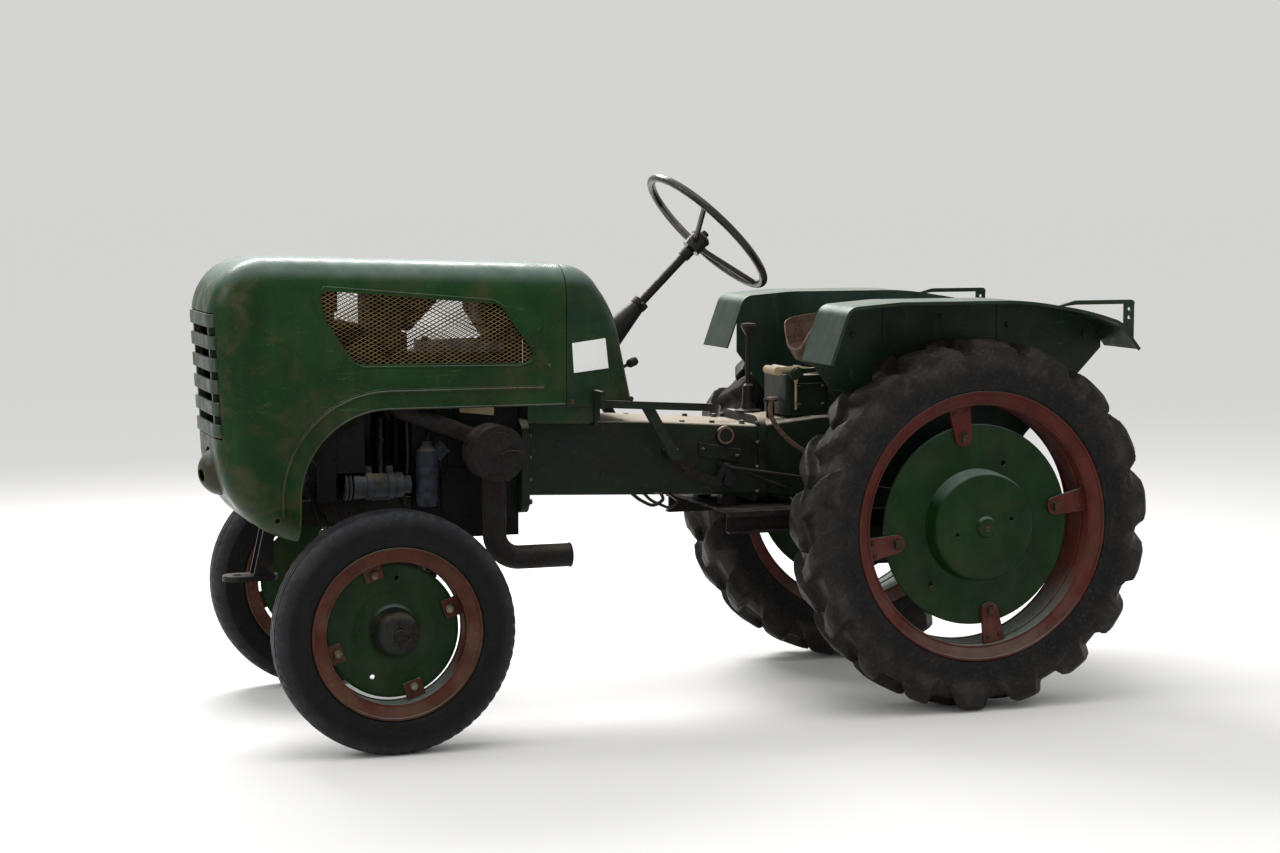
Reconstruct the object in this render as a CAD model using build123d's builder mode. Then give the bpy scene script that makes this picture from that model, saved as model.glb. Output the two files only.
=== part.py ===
from build123d import *
import os
from math import asin, cos, radians, sin

# Small narrow-track tractor of the 1950s, as it stands parked, in millimetres.
# X points forward, Y to the driver's left, Z up from the ground.
# Places along the tractor are written as distances ahead of the rear axle;
# ahead() turns them into X, so that the origin lies midway along the whole tractor.

os.makedirs("parts", exist_ok=True)

# Stance
wheelbase = 1656.0
rear_track = 860.0
front_track = 960.0
rear_tyre_radius = 517.0
front_tyre_radius = 315.0
running_gap = 0.5
pin_gap = 0.3

# Rear wheel
rear_tyre_half = 100.0
lug_height = 28.0
lug_draft = -16.0
lugs_per_side = 18
rear_rim_flange = 374.0
rear_rim_well = 338.0
rear_rim_half = 85.0
rear_disc_radius = 279.0
rear_disc_inset = 50.0
rear_drum_radius = 153.0
rear_drum_reach = 63.0
rear_hub_inner_y = 342.0

# Front wheel
front_tyre_half = 57.5
front_rim_flange = 222.0
front_rim_well = 186.0
front_rim_half = 48.0
front_disc_radius = 173.0
front_disc_inset = 62.0
front_cap_radius = 55.0
front_cap_reach = 80.0
front_hub_inner_y = 425.0
rim_sheet = 6.0
bead_gap = 0.5

# Front axle and steering
kingpin_y = 385.0
kingpin_radius = 13.0
sleeve_radius = 29.0
sleeve_low_z = 361.0
sleeve_top_z = 435.0
beam_low_z = 372.0
beam_top_z = 424.0
beam_half_x = 22.0
arm_length = 120.0
arm_thick = 16.0
arm_half = 17.0
rod_pin_radius = 7.0
rod_eye_radius = 15.0
rod_eye_thick = 20.0
rod_radius = 9.0
drop_arm_y = -160.0
drop_arm_thick = 15.0
stub_radius = 14.0

# Bodywork
body_half = 215.0
body_corner = 92.0
sheet = 4.0
nose_x = 2074.0
hood_top_z = 1264.0
hood_knee_x = 1870.0
nose_top_round = 150.0
nose_foot_x = 2035.0
nose_bottom_z = 505.0
nose_foot_round = 250.0
dome_tip_x = 2076.0
seam_x = 1110.0
seam_gap = 2.0
seam_top_z = 1240.0
hood_low_z = 860.0
arch_front_x = 1838.0
arch_round = 236.0

origin_shift = -(dome_tip_x - rear_tyre_radius) / 2


def ahead(distance):
    """X of a point this far ahead of the rear axle."""
    return distance + origin_shift


def at_y(y):
    """Side-view plane at this Y: its x is forward, its y is up, and an extrusion runs towards the right."""
    return Plane.XZ.offset(-y)


def save_pair(left, name):
    """Write a left-hand piece and its mirror image."""
    left.part.label = f"{name}_left"
    export_step(left.part, f"parts/{name}_left.step")
    with BuildPart() as right:
        mirror(left.part, about=Plane.XZ)
    right.part.label = f"{name}_right"
    export_step(right.part, f"parts/{name}_right.step")


def wheel_section(x, y, z):
    """Half-section plane of a left wheel: x outwards along the axle from its middle, y the radius."""
    return Plane(origin=(x, y, z), x_dir=(0, 1, 0), z_dir=(1, 0, 0))


rear_hub = (ahead(0), rear_track / 2, rear_tyre_radius)
front_hub = (ahead(wheelbase), front_track / 2, front_tyre_radius)
rear_axle_line = Axis(rear_hub, (0, 1, 0))


def revolved(hub, points):
    """Turn a closed (axial, radius) outline about the axle of a wheel."""
    with BuildSketch(wheel_section(*hub)) as section:
        with BuildLine():
            Polyline(*points, close=True)
        make_face()
    revolve(section.sketch, axis=Axis(hub, (0, 1, 0)))


# Rear tyre: a plain carcass and one swept lug, copied round both halves of the tread
rear_bead_foot = rear_rim_well + rim_sheet + bead_gap
rear_bead_top = rear_rim_flange + bead_gap
carcass_radius = rear_tyre_radius - lug_height
rear_tyre_half_section = [
    # axial, radius
    (61.4, rear_bead_foot),
    (79.4, rear_bead_top),
    (92.0, rear_bead_top + 4.0),
    (rear_tyre_half, 435.0),
    (90.0, 470.0),
    (66.0, carcass_radius - 3.0),
]
lug_plan = [
    # outwards from the tread's middle, forwards at the top of the wheel
    (-6.0, 56.0),
    (60.0, 22.0),
    (112.0, -30.0),
    (112.0, -88.0),
    (50.0, -30.0),
    (-6.0, 24.0),
]
lug_reach = [
    # axial, radius
    (-8.0, 405.0),
    (-8.0, rear_tyre_radius),
    (62.0, rear_tyre_radius),
    (84.0, rear_tyre_radius - 6.0),
    (100.0, rear_tyre_radius - 20.0),
    (106.0, 458.0),
    (99.0, 420.0),
    (90.0, 405.0),
]
with BuildPart() as lug_envelope:
    revolved(rear_hub, lug_reach)
with BuildPart() as rear_lug:
    with BuildSketch(Plane.XY.offset(rear_hub[2] + rear_tyre_radius)):
        with BuildLine():
            Polyline(*[(rear_hub[0] + w, rear_hub[1] + v) for v, w in lug_plan], close=True)
        make_face()
    extrude(amount=-(rear_tyre_radius - lug_reach[0][1] - 5.0), taper=lug_draft)
    add(lug_envelope.part, mode=Mode.INTERSECT)

lug_pitch = 360.0 / lugs_per_side
outer_lugs = [rear_lug.part.rotate(rear_axle_line, n * lug_pitch) for n in range(lugs_per_side)]
rear_middle = Plane.XZ.offset(-rear_hub[1])
inner_lugs = [lug.mirror(rear_middle).rotate(rear_axle_line, lug_pitch / 2) for lug in outer_lugs]
with BuildPart() as rear_tyre:
    revolved(rear_hub, rear_tyre_half_section + [(-u, r) for u, r in reversed(rear_tyre_half_section)])
    add(outer_lugs + inner_lugs)
save_pair(rear_tyre, "rear_tyre")

# Rear rim with its four lug brackets, which clamp the disc at its edge
rear_disc_u = rear_rim_half - rear_disc_inset
bracket_turn = 10.0
bracket_thick = 10.0
bracket_outline = [
    # across, out from the axle, corner radius
    (-33.0, rear_rim_well + 3.0, 0.0),
    (-23.0, 224.0, 22.0),
    (23.0, 224.0, 22.0),
    (33.0, rear_rim_well + 3.0, 0.0),
]
with BuildPart() as rear_rim:
    rim_half_section = [
        # axial, radius
        (rear_rim_half, rear_rim_flange),
        (rear_rim_half - 5.0, rear_rim_flange),
        (62.0, rear_rim_well + rim_sheet),
    ]
    rim_inner_section = [
        (-rear_rim_half, rear_rim_flange - 5.0),
        (-65.0, rear_rim_well),
        (65.0, rear_rim_well),
        (rear_rim_half, rear_rim_flange - 5.0),
    ]
    revolved(rear_hub, rim_half_section + [(-u, r) for u, r in reversed(rim_half_section)] + rim_inner_section)
    with BuildSketch(Plane.XZ.offset(-rear_disc_u - pin_gap)) as bracket_face:
        with BuildLine():
            FilletPolyline(
                *[(x, z) for x, z, r in bracket_outline],
                radius=[r for x, z, r in bracket_outline],
                close=True,
            )
        make_face()
    bracket = extrude(bracket_face.sketch, amount=-bracket_thick, mode=Mode.PRIVATE)
    for quarter in range(4):
        add(Pos(*rear_hub) * Rotation(0, quarter * 90.0 + bracket_turn, 0) * bracket)
save_pair(rear_rim, "rear_rim")

# Rear disc with the drum in its middle and the hub behind it
with BuildPart() as rear_disc:
    drum_u = rear_disc_u + rear_drum_reach
    hub_u = rear_hub_inner_y - rear_hub[1]
    revolved(rear_hub, [
        (rear_disc_u - 6.0, rear_disc_radius),
        (rear_disc_u, rear_disc_radius),
        (rear_disc_u, rear_drum_radius),
        (drum_u - 8.0, rear_drum_radius - 8.0),
        (drum_u, rear_drum_radius - 14.0),
        (drum_u, 30.0),
        (drum_u + 10.0, 28.0),
        (drum_u + 10.0, 0.0),
        (hub_u, 0.0),
        (hub_u, 60.0),
        (rear_disc_u - 14.0, 64.0),
        (rear_disc_u - 6.0, 90.0),
    ])
save_pair(rear_disc, "rear_disc")

# Front tyre, rim and disc
front_bead_foot = front_rim_well + rim_sheet + bead_gap
front_bead_top = front_rim_flange + bead_gap
with BuildPart() as front_tyre:
    front_tyre_half_section = [
        # axial, radius
        (30.4, front_bead_foot),
        (42.4, front_bead_top),
        (52.0, front_bead_top + 4.0),
        (front_tyre_half, 268.0),
        (53.0, 298.0),
        (40.0, front_tyre_radius - 2.0),
        (20.0, front_tyre_radius),
    ]
    revolved(front_hub, front_tyre_half_section + [(-u, r) for u, r in reversed(front_tyre_half_section)])
save_pair(front_tyre, "front_tyre")

front_disc_u = front_rim_half - front_disc_inset
tab_turn = 19.0
with BuildPart() as front_rim:
    front_rim_half_section = [
        (front_rim_half, front_rim_flange),
        (front_rim_half - 5.0, front_rim_flange),
        (31.0, front_rim_well + rim_sheet),
    ]
    front_rim_inner_section = [
        (-front_rim_half, front_rim_flange - 5.0),
        (-34.0, front_rim_well),
        (34.0, front_rim_well),
        (front_rim_half, front_rim_flange - 5.0),
    ]
    revolved(
        front_hub,
        front_rim_half_section
        + [(-u, r) for u, r in reversed(front_rim_half_section)]
        + front_rim_inner_section,
    )
    for quarter in range(4):
        turn = Rotation(0, quarter * 90.0 + tab_turn, 0)
        tab = Pos(*front_hub) * turn * (
            Pos(0, front_disc_u + pin_gap + 4.0, 164.0) * Box(50.0, 8.0, 48.0, mode=Mode.PRIVATE)
            + Pos(0, front_disc_u + pin_gap + 12.0, 155.0) * Box(20.0, 8.0, 20.0, mode=Mode.PRIVATE)
        )
        add(tab)
save_pair(front_rim, "front_rim")

with BuildPart() as front_disc:
    cap_u = front_disc_u + front_cap_reach
    front_hub_u = front_hub_inner_y - front_hub[1]
    stub_end_u = 15.0
    revolved(front_hub, [
        (front_disc_u - 6.0, front_disc_radius),
        (front_disc_u, front_disc_radius),
        (front_disc_u, 70.0),
        (front_disc_u + 20.0, front_cap_radius + 4.0),
        (cap_u - 12.0, front_cap_radius - 3.0),
        (cap_u, 38.0),
        (cap_u, 0.0),
        (stub_end_u + 3.0, 0.0),
        (stub_end_u + 3.0, stub_radius + pin_gap),
        (front_hub_u, stub_radius + pin_gap),
        (front_hub_u, 46.0),
        (front_disc_u - 6.0, 60.0),
    ])
save_pair(front_disc, "front_disc")

# Knuckles: stub axle, kingpin and steering arm in one
kingpin_x = ahead(wheelbase)
arm_z = sleeve_top_z + running_gap
rod_z = arm_z + arm_thick + running_gap
with BuildPart() as knuckle:
    with BuildSketch(Plane.XY.offset(270.0)):
        with Locations((kingpin_x, kingpin_y)):
            Circle(27.0)
    extrude(amount=sleeve_low_z - running_gap - 270.0)
    with BuildSketch(Plane.XY.offset(275.0)):
        with Locations((kingpin_x, kingpin_y)):
            Circle(kingpin_radius)
    extrude(amount=arm_z + arm_thick - 275.0)
    with BuildSketch(Plane.XY.offset(arm_z)):
        with Locations((kingpin_x - arm_length / 2, kingpin_y)):
            SlotCenterToCenter(arm_length, 2 * arm_half)
    extrude(amount=arm_thick)
    with BuildSketch(Plane.XY.offset(arm_z)):
        with Locations((kingpin_x - arm_length, kingpin_y)):
            Circle(rod_pin_radius)
    extrude(amount=arm_thick + running_gap + rod_eye_thick + 5.0)
    with BuildSketch(at_y(kingpin_y)):
        with Locations((kingpin_x, front_tyre_radius)):
            Circle(stub_radius)
    extrude(amount=-(front_hub[1] + stub_end_u - kingpin_y))
    with BuildSketch(at_y(kingpin_y)):
        with Locations((kingpin_x, front_tyre_radius)):
            Circle(24.0)
    extrude(amount=-(front_hub_inner_y - running_gap - kingpin_y))
save_pair(knuckle, "knuckle")

# Tie rod between the two arms, with a middle eye for the drop arm
with BuildPart() as tie_rod:
    rod_x = kingpin_x - arm_length
    rod_mid_z = rod_z + rod_eye_thick / 2
    eye_places = [(rod_x, kingpin_y), (rod_x, -kingpin_y), (rod_x, drop_arm_y)]
    with BuildSketch(at_y(kingpin_y)):
        with Locations((rod_x, rod_mid_z)):
            Circle(rod_radius)
    extrude(amount=2 * kingpin_y)
    with BuildSketch(Plane.XY.offset(rod_z)):
        with Locations(*eye_places):
            Circle(rod_eye_radius)
    extrude(amount=rod_eye_thick)
    with BuildSketch(Plane.XY.offset(rod_z)):
        with Locations(*eye_places):
            Circle(rod_pin_radius + pin_gap)
    extrude(amount=rod_eye_thick, mode=Mode.SUBTRACT)
tie_rod.part.label = "tie_rod"
export_step(tie_rod.part, "parts/tie_rod.step")

# Steering gear on the right frame rail, with its drop arm over the tie rod
drop_z = rod_z + rod_eye_thick + 5.0
gear_low_z = drop_z + drop_arm_thick + 5.0
gear_top_z = 615.0
with BuildPart() as drop_arm:
    with BuildSketch(Plane.XY.offset(drop_z)):
        with Locations((kingpin_x - arm_length / 2, drop_arm_y)):
            SlotCenterToCenter(arm_length, 2 * arm_half)
    extrude(amount=drop_arm_thick)
    with BuildSketch(Plane.XY.offset(drop_z - rod_eye_thick - 5.0)):
        with Locations((kingpin_x - arm_length, drop_arm_y)):
            Circle(rod_pin_radius)
    extrude(amount=rod_eye_thick + 5.0)
    with BuildSketch(Plane.XY.offset(drop_z)):
        with Locations((kingpin_x, drop_arm_y)):
            Circle(rod_radius + 2.0)
    extrude(amount=gear_low_z - drop_z + 30.0)
drop_arm.part.label = "drop_arm"
export_step(drop_arm.part, "parts/drop_arm.step")

with BuildPart() as steering_gear:
    with BuildSketch(Plane.XY.offset(gear_low_z)):
        with Locations((kingpin_x, drop_arm_y - 8.0)):
            RectangleRounded(96.0, 66.0, 14.0)
    extrude(amount=gear_top_z - gear_low_z)
    with BuildSketch(Plane.XY.offset(gear_low_z)):
        with Locations((kingpin_x, drop_arm_y)):
            Circle(rod_radius + 2.0 + pin_gap)
    extrude(amount=30.0 + running_gap, mode=Mode.SUBTRACT)
    shaft_y = drop_arm_y - 25.0
    shaft_low = Vector(kingpin_x - 30.0, shaft_y, 585.0)
    shaft_high = Vector(ahead(1150.0), shaft_y, 838.0)
    with BuildSketch(Plane(origin=shaft_low, z_dir=shaft_high - shaft_low)):
        Circle(12.0)
    extrude(amount=(shaft_high - shaft_low).length)
steering_gear.part.label = "steering_gear"
export_step(steering_gear.part, "parts/steering_gear.step")

# Steering wheel: round rim, three bent spokes and a hub
column_dir = Vector(-1, 0, 1).normalized()
rim_centre = Vector(ahead(624.0), 0, 1324.0)
wheel_dish = 50.0
wheel_hub = rim_centre - column_dir * wheel_dish
wheel_shaft_gap = 20.0 + running_gap
steering_rim_radius = 213.0
steering_rim_half = 11.5
with BuildPart() as steering_wheel:
    rim_plane = Plane(origin=rim_centre, x_dir=(0, 1, 0), z_dir=column_dir)
    with BuildSketch(Plane(origin=rim_centre, x_dir=(0, 1, 0), z_dir=column_dir.cross(Vector(0, 1, 0)))):
        with Locations((steering_rim_radius, 0)):
            Circle(steering_rim_half)
    revolve(axis=Axis(rim_centre, column_dir))
    with BuildSketch(Plane(origin=wheel_hub - column_dir * 20.0, z_dir=column_dir)):
        Circle(28.0)
    extrude(amount=46.0)
    for third in range(3):
        spoke_angle = radians(90.0 + third * 120.0)
        outward = rim_plane.x_dir * cos(spoke_angle) + rim_plane.y_dir * sin(spoke_angle)
        tip = rim_centre + outward * steering_rim_radius
        root = wheel_hub + outward * 15.0
        with BuildSketch(Plane(origin=root, z_dir=tip - root)):
            Circle(7.5)
        extrude(amount=(tip - root).length)
steering_wheel.part.label = "steering_wheel"
export_step(steering_wheel.part, "parts/steering_wheel.step")


# Hood and cowl: side profiles extruded across the body, with one corner radius rolled along each side
hood_profile = [
    # ahead, height, corner radius
    (seam_x, nose_bottom_z, 0.0),
    (seam_x, seam_top_z, 0.0),
    (hood_knee_x, hood_top_z, 1500.0),
    (nose_x, hood_top_z, nose_top_round),
    (nose_foot_x, nose_bottom_z, nose_foot_round),
]
cowl_profile = [
    # ahead, height, corner radius
    (seam_x - 212.0, hood_low_z - 5.0, 0.0),
    (seam_x - 158.0, seam_top_z - 128.0, 300.0),
    (seam_x - 70.0, seam_top_z - 2.0, 120.0),
    (seam_x - seam_gap, seam_top_z - 1.0, 0.0),
    (seam_x - seam_gap, hood_low_z - 5.0, 0.0),
]


def on_open_end(edge, open_x, low_z):
    """True for an edge on the bottom or on the seam end, which stay square."""
    box = edge.bounding_box()
    flat = box.max.Z - box.min.Z < 1.0 and box.max.Z < low_z + 1.0
    seam = box.max.X - box.min.X < 1.0 and abs(box.max.X - ahead(open_x)) < 1.0
    return flat or seam


def body_form(profile, half_width, corner):
    """Solid bodywork form with its corner radius rolled along both sides of the profile."""
    open_x = profile[0][0] if profile[0][0] == profile[1][0] else profile[-1][0]
    low_z = min(z for x, z, r in profile)
    with BuildPart() as form:
        with BuildSketch(at_y(half_width)) as outline:
            with BuildLine():
                FilletPolyline(
                    *[(ahead(x), z) for x, z, r in profile],
                    radius=[r for x, z, r in profile],
                    close=True,
                )
            make_face()
        extrude(outline.sketch, amount=2 * half_width)
        sides = form.faces().filter_by(Axis.Y)
        fillet([edge for face in sides for edge in face.edges() if not on_open_end(edge, open_x, low_z)], corner)
    return form.part


def drawn_in(profile, wall, open_x, past, floor=0.0):
    """The same profile one wall inside the skin, with a floor, run past its open end by the given distance."""
    low = min(z for x, z, r in profile)
    inner = []
    for x, z, r in profile:
        inward = -wall if x > open_x else wall
        moved_x = x + past if x == open_x else x + inward
        moved_z = z + floor if z == low else z - wall
        inner.append((moved_x, moved_z, max(r - wall, 0.0) if r else 0.0))
    return inner


def nose_line(z):
    """Place along the tractor of the nose's straight front at this height."""
    return nose_foot_x + (nose_x - nose_foot_x) * (z - nose_bottom_z) / (hood_top_z - nose_bottom_z)


arch_profile = [
    # ahead, height, corner radius
    (seam_x - 60.0, hood_low_z, 0.0),
    (arch_front_x, hood_low_z, arch_round),
    (arch_front_x, nose_bottom_z - 60.0, 0.0),
    (seam_x - 60.0, nose_bottom_z - 60.0, 0.0),
]
grille_low_z = 790.0
grille_top_z = 1122.0
grille_half = 170.0
notch_half = 145.0
notch_front_x = 1965.0
notch_top_z = 566.0
window_profile = [
    # ahead, height, corner radius
    (1790.0, 1180.0, 22.0),
    (1296.0, 1136.0, 25.0),
    (1200.0, 1002.0, 16.0),
    (1222.0, 978.0, 10.0),
    (1690.0, 984.0, 22.0),
    (1768.0, 1098.0, 30.0),
]


def side_prism(profile, y_from, y_to, grow=0.0):
    """Extrude a rounded side-view outline, grown all round, between two places across the tractor."""
    with BuildPart() as prism:
        with BuildSketch(at_y(y_to)) as outline:
            with BuildLine():
                FilletPolyline(
                    *[(ahead(x), z) for x, z, r in profile],
                    radius=[r for x, z, r in profile],
                    close=True,
                )
            make_face()
            if grow:
                offset(amount=grow, kind=Kind.INTERSECTION)
        extrude(outline.sketch, amount=y_to - y_from)
    return prism.part


def box_between(low, high):
    """Plain block from its lowest to its highest corner, given as (ahead, y, z)."""
    size = [b - a for a, b in zip(low, high)]
    return Pos(ahead(low[0]), low[1], low[2]) * Box(
        *size, align=(Align.MIN, Align.MIN, Align.MIN), mode=Mode.PRIVATE
    )


dome_z = 692.0
dome_radius = 66.0
dome_root_x = dome_tip_x - 56.0
dome_skirt_x = dome_root_x - 20.0
bead_offset = 50.0
bead_width = 12.0
bead_height = 4.0
hood_outer = body_form(hood_profile, body_half, body_corner)
hood_inner = body_form(
    drawn_in(hood_profile, sheet, seam_x, -20.0, floor=sheet), body_half - sheet, body_corner - sheet
)
bead_zone = [
    (seam_x + 60.0, nose_bottom_z + 74.0, 0.0),
    (seam_x + 60.0, hood_low_z + 80.0, 0.0),
    (arch_front_x + 60.0, hood_low_z + 80.0, 0.0),
    (arch_front_x + 60.0, nose_bottom_z + 74.0, 0.0),
]
with BuildPart() as hood:
    add(hood_outer)
    add(hood_inner, mode=Mode.SUBTRACT)
    add(side_prism(arch_profile, -body_half - 10.0, body_half + 10.0), mode=Mode.SUBTRACT)
    add(box_between((dome_skirt_x, -grille_half, grille_low_z), (nose_x + 20.0, grille_half, grille_top_z)),
        mode=Mode.SUBTRACT)
    add(box_between((seam_x, -notch_half, nose_bottom_z - 20.0), (notch_front_x, notch_half, notch_top_z)),
        mode=Mode.SUBTRACT)
    add(side_prism(window_profile, -body_half - 10.0, body_half + 10.0), mode=Mode.SUBTRACT)
    with BuildSketch(Plane.YZ.offset(ahead(dome_skirt_x - 10.0))) as dome_hole:
        with Locations((0, dome_z)):
            Circle(dome_radius + pin_gap)
    extrude(dome_hole.sketch, amount=100.0, mode=Mode.SUBTRACT)
hood_pivot_x = 1900.0
hood_pivot_z = 575.0
hood_pin_radius = 6.0
hinge_strap_y = 131.0
hinge_strap_thick = 6.0
hinge_profile = [
    # ahead, height, corner radius
    (hood_pivot_x - 14.0, hood_pivot_z - 14.0, 8.0),
    (hood_pivot_x + 60.0, hood_pivot_z - 14.0, 0.0),
    (hood_pivot_x + 112.0, hood_pivot_z + 25.0, 0.0),
    (hood_pivot_x + 112.0, hood_pivot_z + 75.0, 0.0),
    (hood_pivot_x - 14.0, hood_pivot_z + 14.0, 8.0),
]
bead_ring = side_prism(arch_profile, body_half - 1.0, body_half + bead_height, bead_offset + bead_width / 2)
bead_ring = bead_ring - side_prism(arch_profile, body_half - 2.0, body_half + 9.0, bead_offset - bead_width / 2)
bead_ring = bead_ring & side_prism(bead_zone, body_half - 2.0, body_half + 9.0)
with BuildPart() as hood_skin:
    add(hood.part)
    add(bead_ring)
    mirror(bead_ring, about=Plane.XZ)
    hinge_strap = side_prism(hinge_profile, hinge_strap_y, hinge_strap_y + hinge_strap_thick) & hood_outer
    add(hinge_strap)
    mirror(hinge_strap, about=Plane.XZ)
    with BuildSketch(at_y(body_half)) as pin_hole:
        with Locations((ahead(hood_pivot_x), hood_pivot_z)):
            Circle(hood_pin_radius + pin_gap)
    extrude(pin_hole.sketch, amount=2 * body_half, mode=Mode.SUBTRACT)
hood_skin.part.label = "hood"
export_step(hood_skin.part, "parts/hood.step")

# Grille: slats that stand a little proud, wrapped round the nose, on two posts behind them
slat_pitch = 58.0
slat_height = 34.0
slat_proud = 5.0
first_slat_z = grille_low_z + 22.0
slat_count = int((grille_top_z - first_slat_z) / slat_pitch) + 1
post_y = 120.0
post_half = 8.0
grille_outer = body_form(
    [(x + slat_proud if x > seam_x else x, z + slat_proud if z > hood_low_z else z, r + slat_proud if r else 0.0)
     for x, z, r in hood_profile],
    body_half + slat_proud,
    body_corner + slat_proud,
)
with BuildPart() as slat_bands:
    for n in range(slat_count):
        with BuildSketch(Plane.YZ.offset(ahead(dome_skirt_x))) as band:
            with Locations((0, first_slat_z + n * slat_pitch)):
                Rectangle(2 * (grille_half - pin_gap), slat_height)
        extrude(band.sketch, amount=100.0)
post_profile = []
for z, back in ((first_slat_z, 2.0), (first_slat_z, -18.0)):
    post_profile.append((nose_line(z) - sheet + back, z, 0.0))
for back in (-18.0, 2.0):
    last_slat_z = first_slat_z + (slat_count - 1) * slat_pitch
    post_profile.append((nose_line(last_slat_z) - sheet + back, last_slat_z, 0.0))
with BuildPart() as grille:
    add(grille_outer)
    add(hood_inner, mode=Mode.SUBTRACT)
    add(slat_bands.part, mode=Mode.INTERSECT)
    for y in (-post_y, post_y):
        add(side_prism(post_profile, y - post_half, y + post_half))
grille.part.label = "grille"
export_step(grille.part, "parts/grille.step")

# Mesh behind the two side windows of the hood
mesh_thick = 1.5
mesh_seat = 0.3
mesh_outer = sheet + mesh_seat
mesh_inner = mesh_outer + mesh_thick
mesh_panel = side_prism(window_profile, 0.0, body_half, 10.0)
mesh_panel = mesh_panel & body_form(
    drawn_in(hood_profile, mesh_outer, seam_x, -20.0), body_half - mesh_outer, body_corner - mesh_outer
)
mesh_panel = mesh_panel - body_form(
    drawn_in(hood_profile, mesh_inner, seam_x, -40.0), body_half - mesh_inner, body_corner - mesh_inner
)
with BuildPart() as hood_mesh:
    add(mesh_panel)
    mirror(mesh_panel, about=Plane.XZ)
hood_mesh.part.label = "hood_mesh"
export_step(hood_mesh.part, "parts/hood_mesh.step")

# Pressed dome low on the nose, with a hole in it that looks forward and to the left
dome_height = dome_tip_x - dome_root_x
dome_arc_radius = (dome_radius**2 + dome_height**2) / (2 * dome_height)
dome_centre = Vector(ahead(dome_tip_x) - dome_arc_radius, 0, dome_z)
dome_turn = 17.0
dome_hole_radius = 18.0


def dome_arc_points(arc_radius, radius):
    """Start, middle and tip of the dome's arc, as (forward of its centre, out from its axis)."""
    start_angle = asin(radius / arc_radius)
    return [(arc_radius * cos(a), arc_radius * sin(a)) for a in (start_angle, start_angle / 2, 0.0)]


with BuildPart() as nose_dome:
    with BuildSketch(Plane(origin=dome_centre, x_dir=(1, 0, 0), z_dir=(0, -1, 0))) as dome_section:
        with BuildLine():
            outer_arc = dome_arc_points(dome_arc_radius, dome_radius)
            inner_arc = dome_arc_points(dome_arc_radius - sheet, dome_radius - sheet)
            skirt_back = ahead(dome_skirt_x) - dome_centre.X
            ThreePointArc(*outer_arc)
            Line(outer_arc[2], inner_arc[2])
            ThreePointArc(*inner_arc)
            Polyline(inner_arc[0], (skirt_back, dome_radius - sheet), (skirt_back, dome_radius), outer_arc[0])
        make_face()
    revolve(dome_section.sketch, axis=Axis(dome_centre, (1, 0, 0)))
    look_dir = Vector(cos(radians(dome_turn)), sin(radians(dome_turn)), -0.15)
    with BuildSketch(Plane(origin=dome_centre, z_dir=look_dir)) as look_hole:
        Circle(dome_hole_radius)
    extrude(look_hole.sketch, amount=100.0, mode=Mode.SUBTRACT)
nose_dome.part.label = "nose_dome"
export_step(nose_dome.part, "parts/nose_dome.step")

# Cowl behind the hood, open at the front and below, with a hole for the steering column
column_length = 575.0
column_foot = wheel_hub - column_dir * column_length
jacket_radius = 12.5
cowl_outer = body_form(cowl_profile, body_half, body_corner)
cowl_inner = body_form(drawn_in(cowl_profile, sheet, seam_x - seam_gap, 20.0), body_half - sheet, body_corner - sheet)
with BuildPart() as cowl:
    add(cowl_outer)
    add(cowl_inner, mode=Mode.SUBTRACT)
    with BuildSketch(Plane(origin=column_foot, z_dir=column_dir)) as column_hole:
        Circle(jacket_radius + 1.0)
    extrude(column_hole.sketch, amount=400.0, mode=Mode.SUBTRACT)
cowl.part.label = "cowl"
export_step(cowl.part, "parts/cowl.step")

# Steering column: bevel case on the clutch housing, jacket tube and the flared bracket on the cowl
bracket_low = 140.0
bracket_top = 333.0
cowl_clear = body_form(
    drawn_in(cowl_profile, -pin_gap, seam_x - seam_gap, 0.0), body_half + pin_gap, body_corner + pin_gap
)
with BuildPart() as column_bracket:
    with BuildSketch(Plane(origin=column_foot + column_dir * bracket_low, z_dir=column_dir)):
        Circle(50.0)
    with BuildSketch(Plane(origin=column_foot + column_dir * bracket_top, z_dir=column_dir)):
        Circle(jacket_radius + 8.0)
    loft()
    add(cowl_clear, mode=Mode.SUBTRACT)
with BuildPart() as steering_column:
    with BuildSketch(Plane.XY.offset(818.0)):
        with Locations((ahead(1094.0), -78.0)):
            RectangleRounded(100.0, 240.0, 20.0)
    extrude(amount=72.0)
    jacket_end = wheel_hub - column_dir * wheel_shaft_gap
    with BuildSketch(Plane(origin=column_foot, z_dir=column_dir)):
        Circle(jacket_radius)
    extrude(amount=(jacket_end - column_foot).length)
    add(column_bracket.part)
steering_column.part.label = "steering_column"
export_step(steering_column.part, "parts/steering_column.step")

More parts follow.
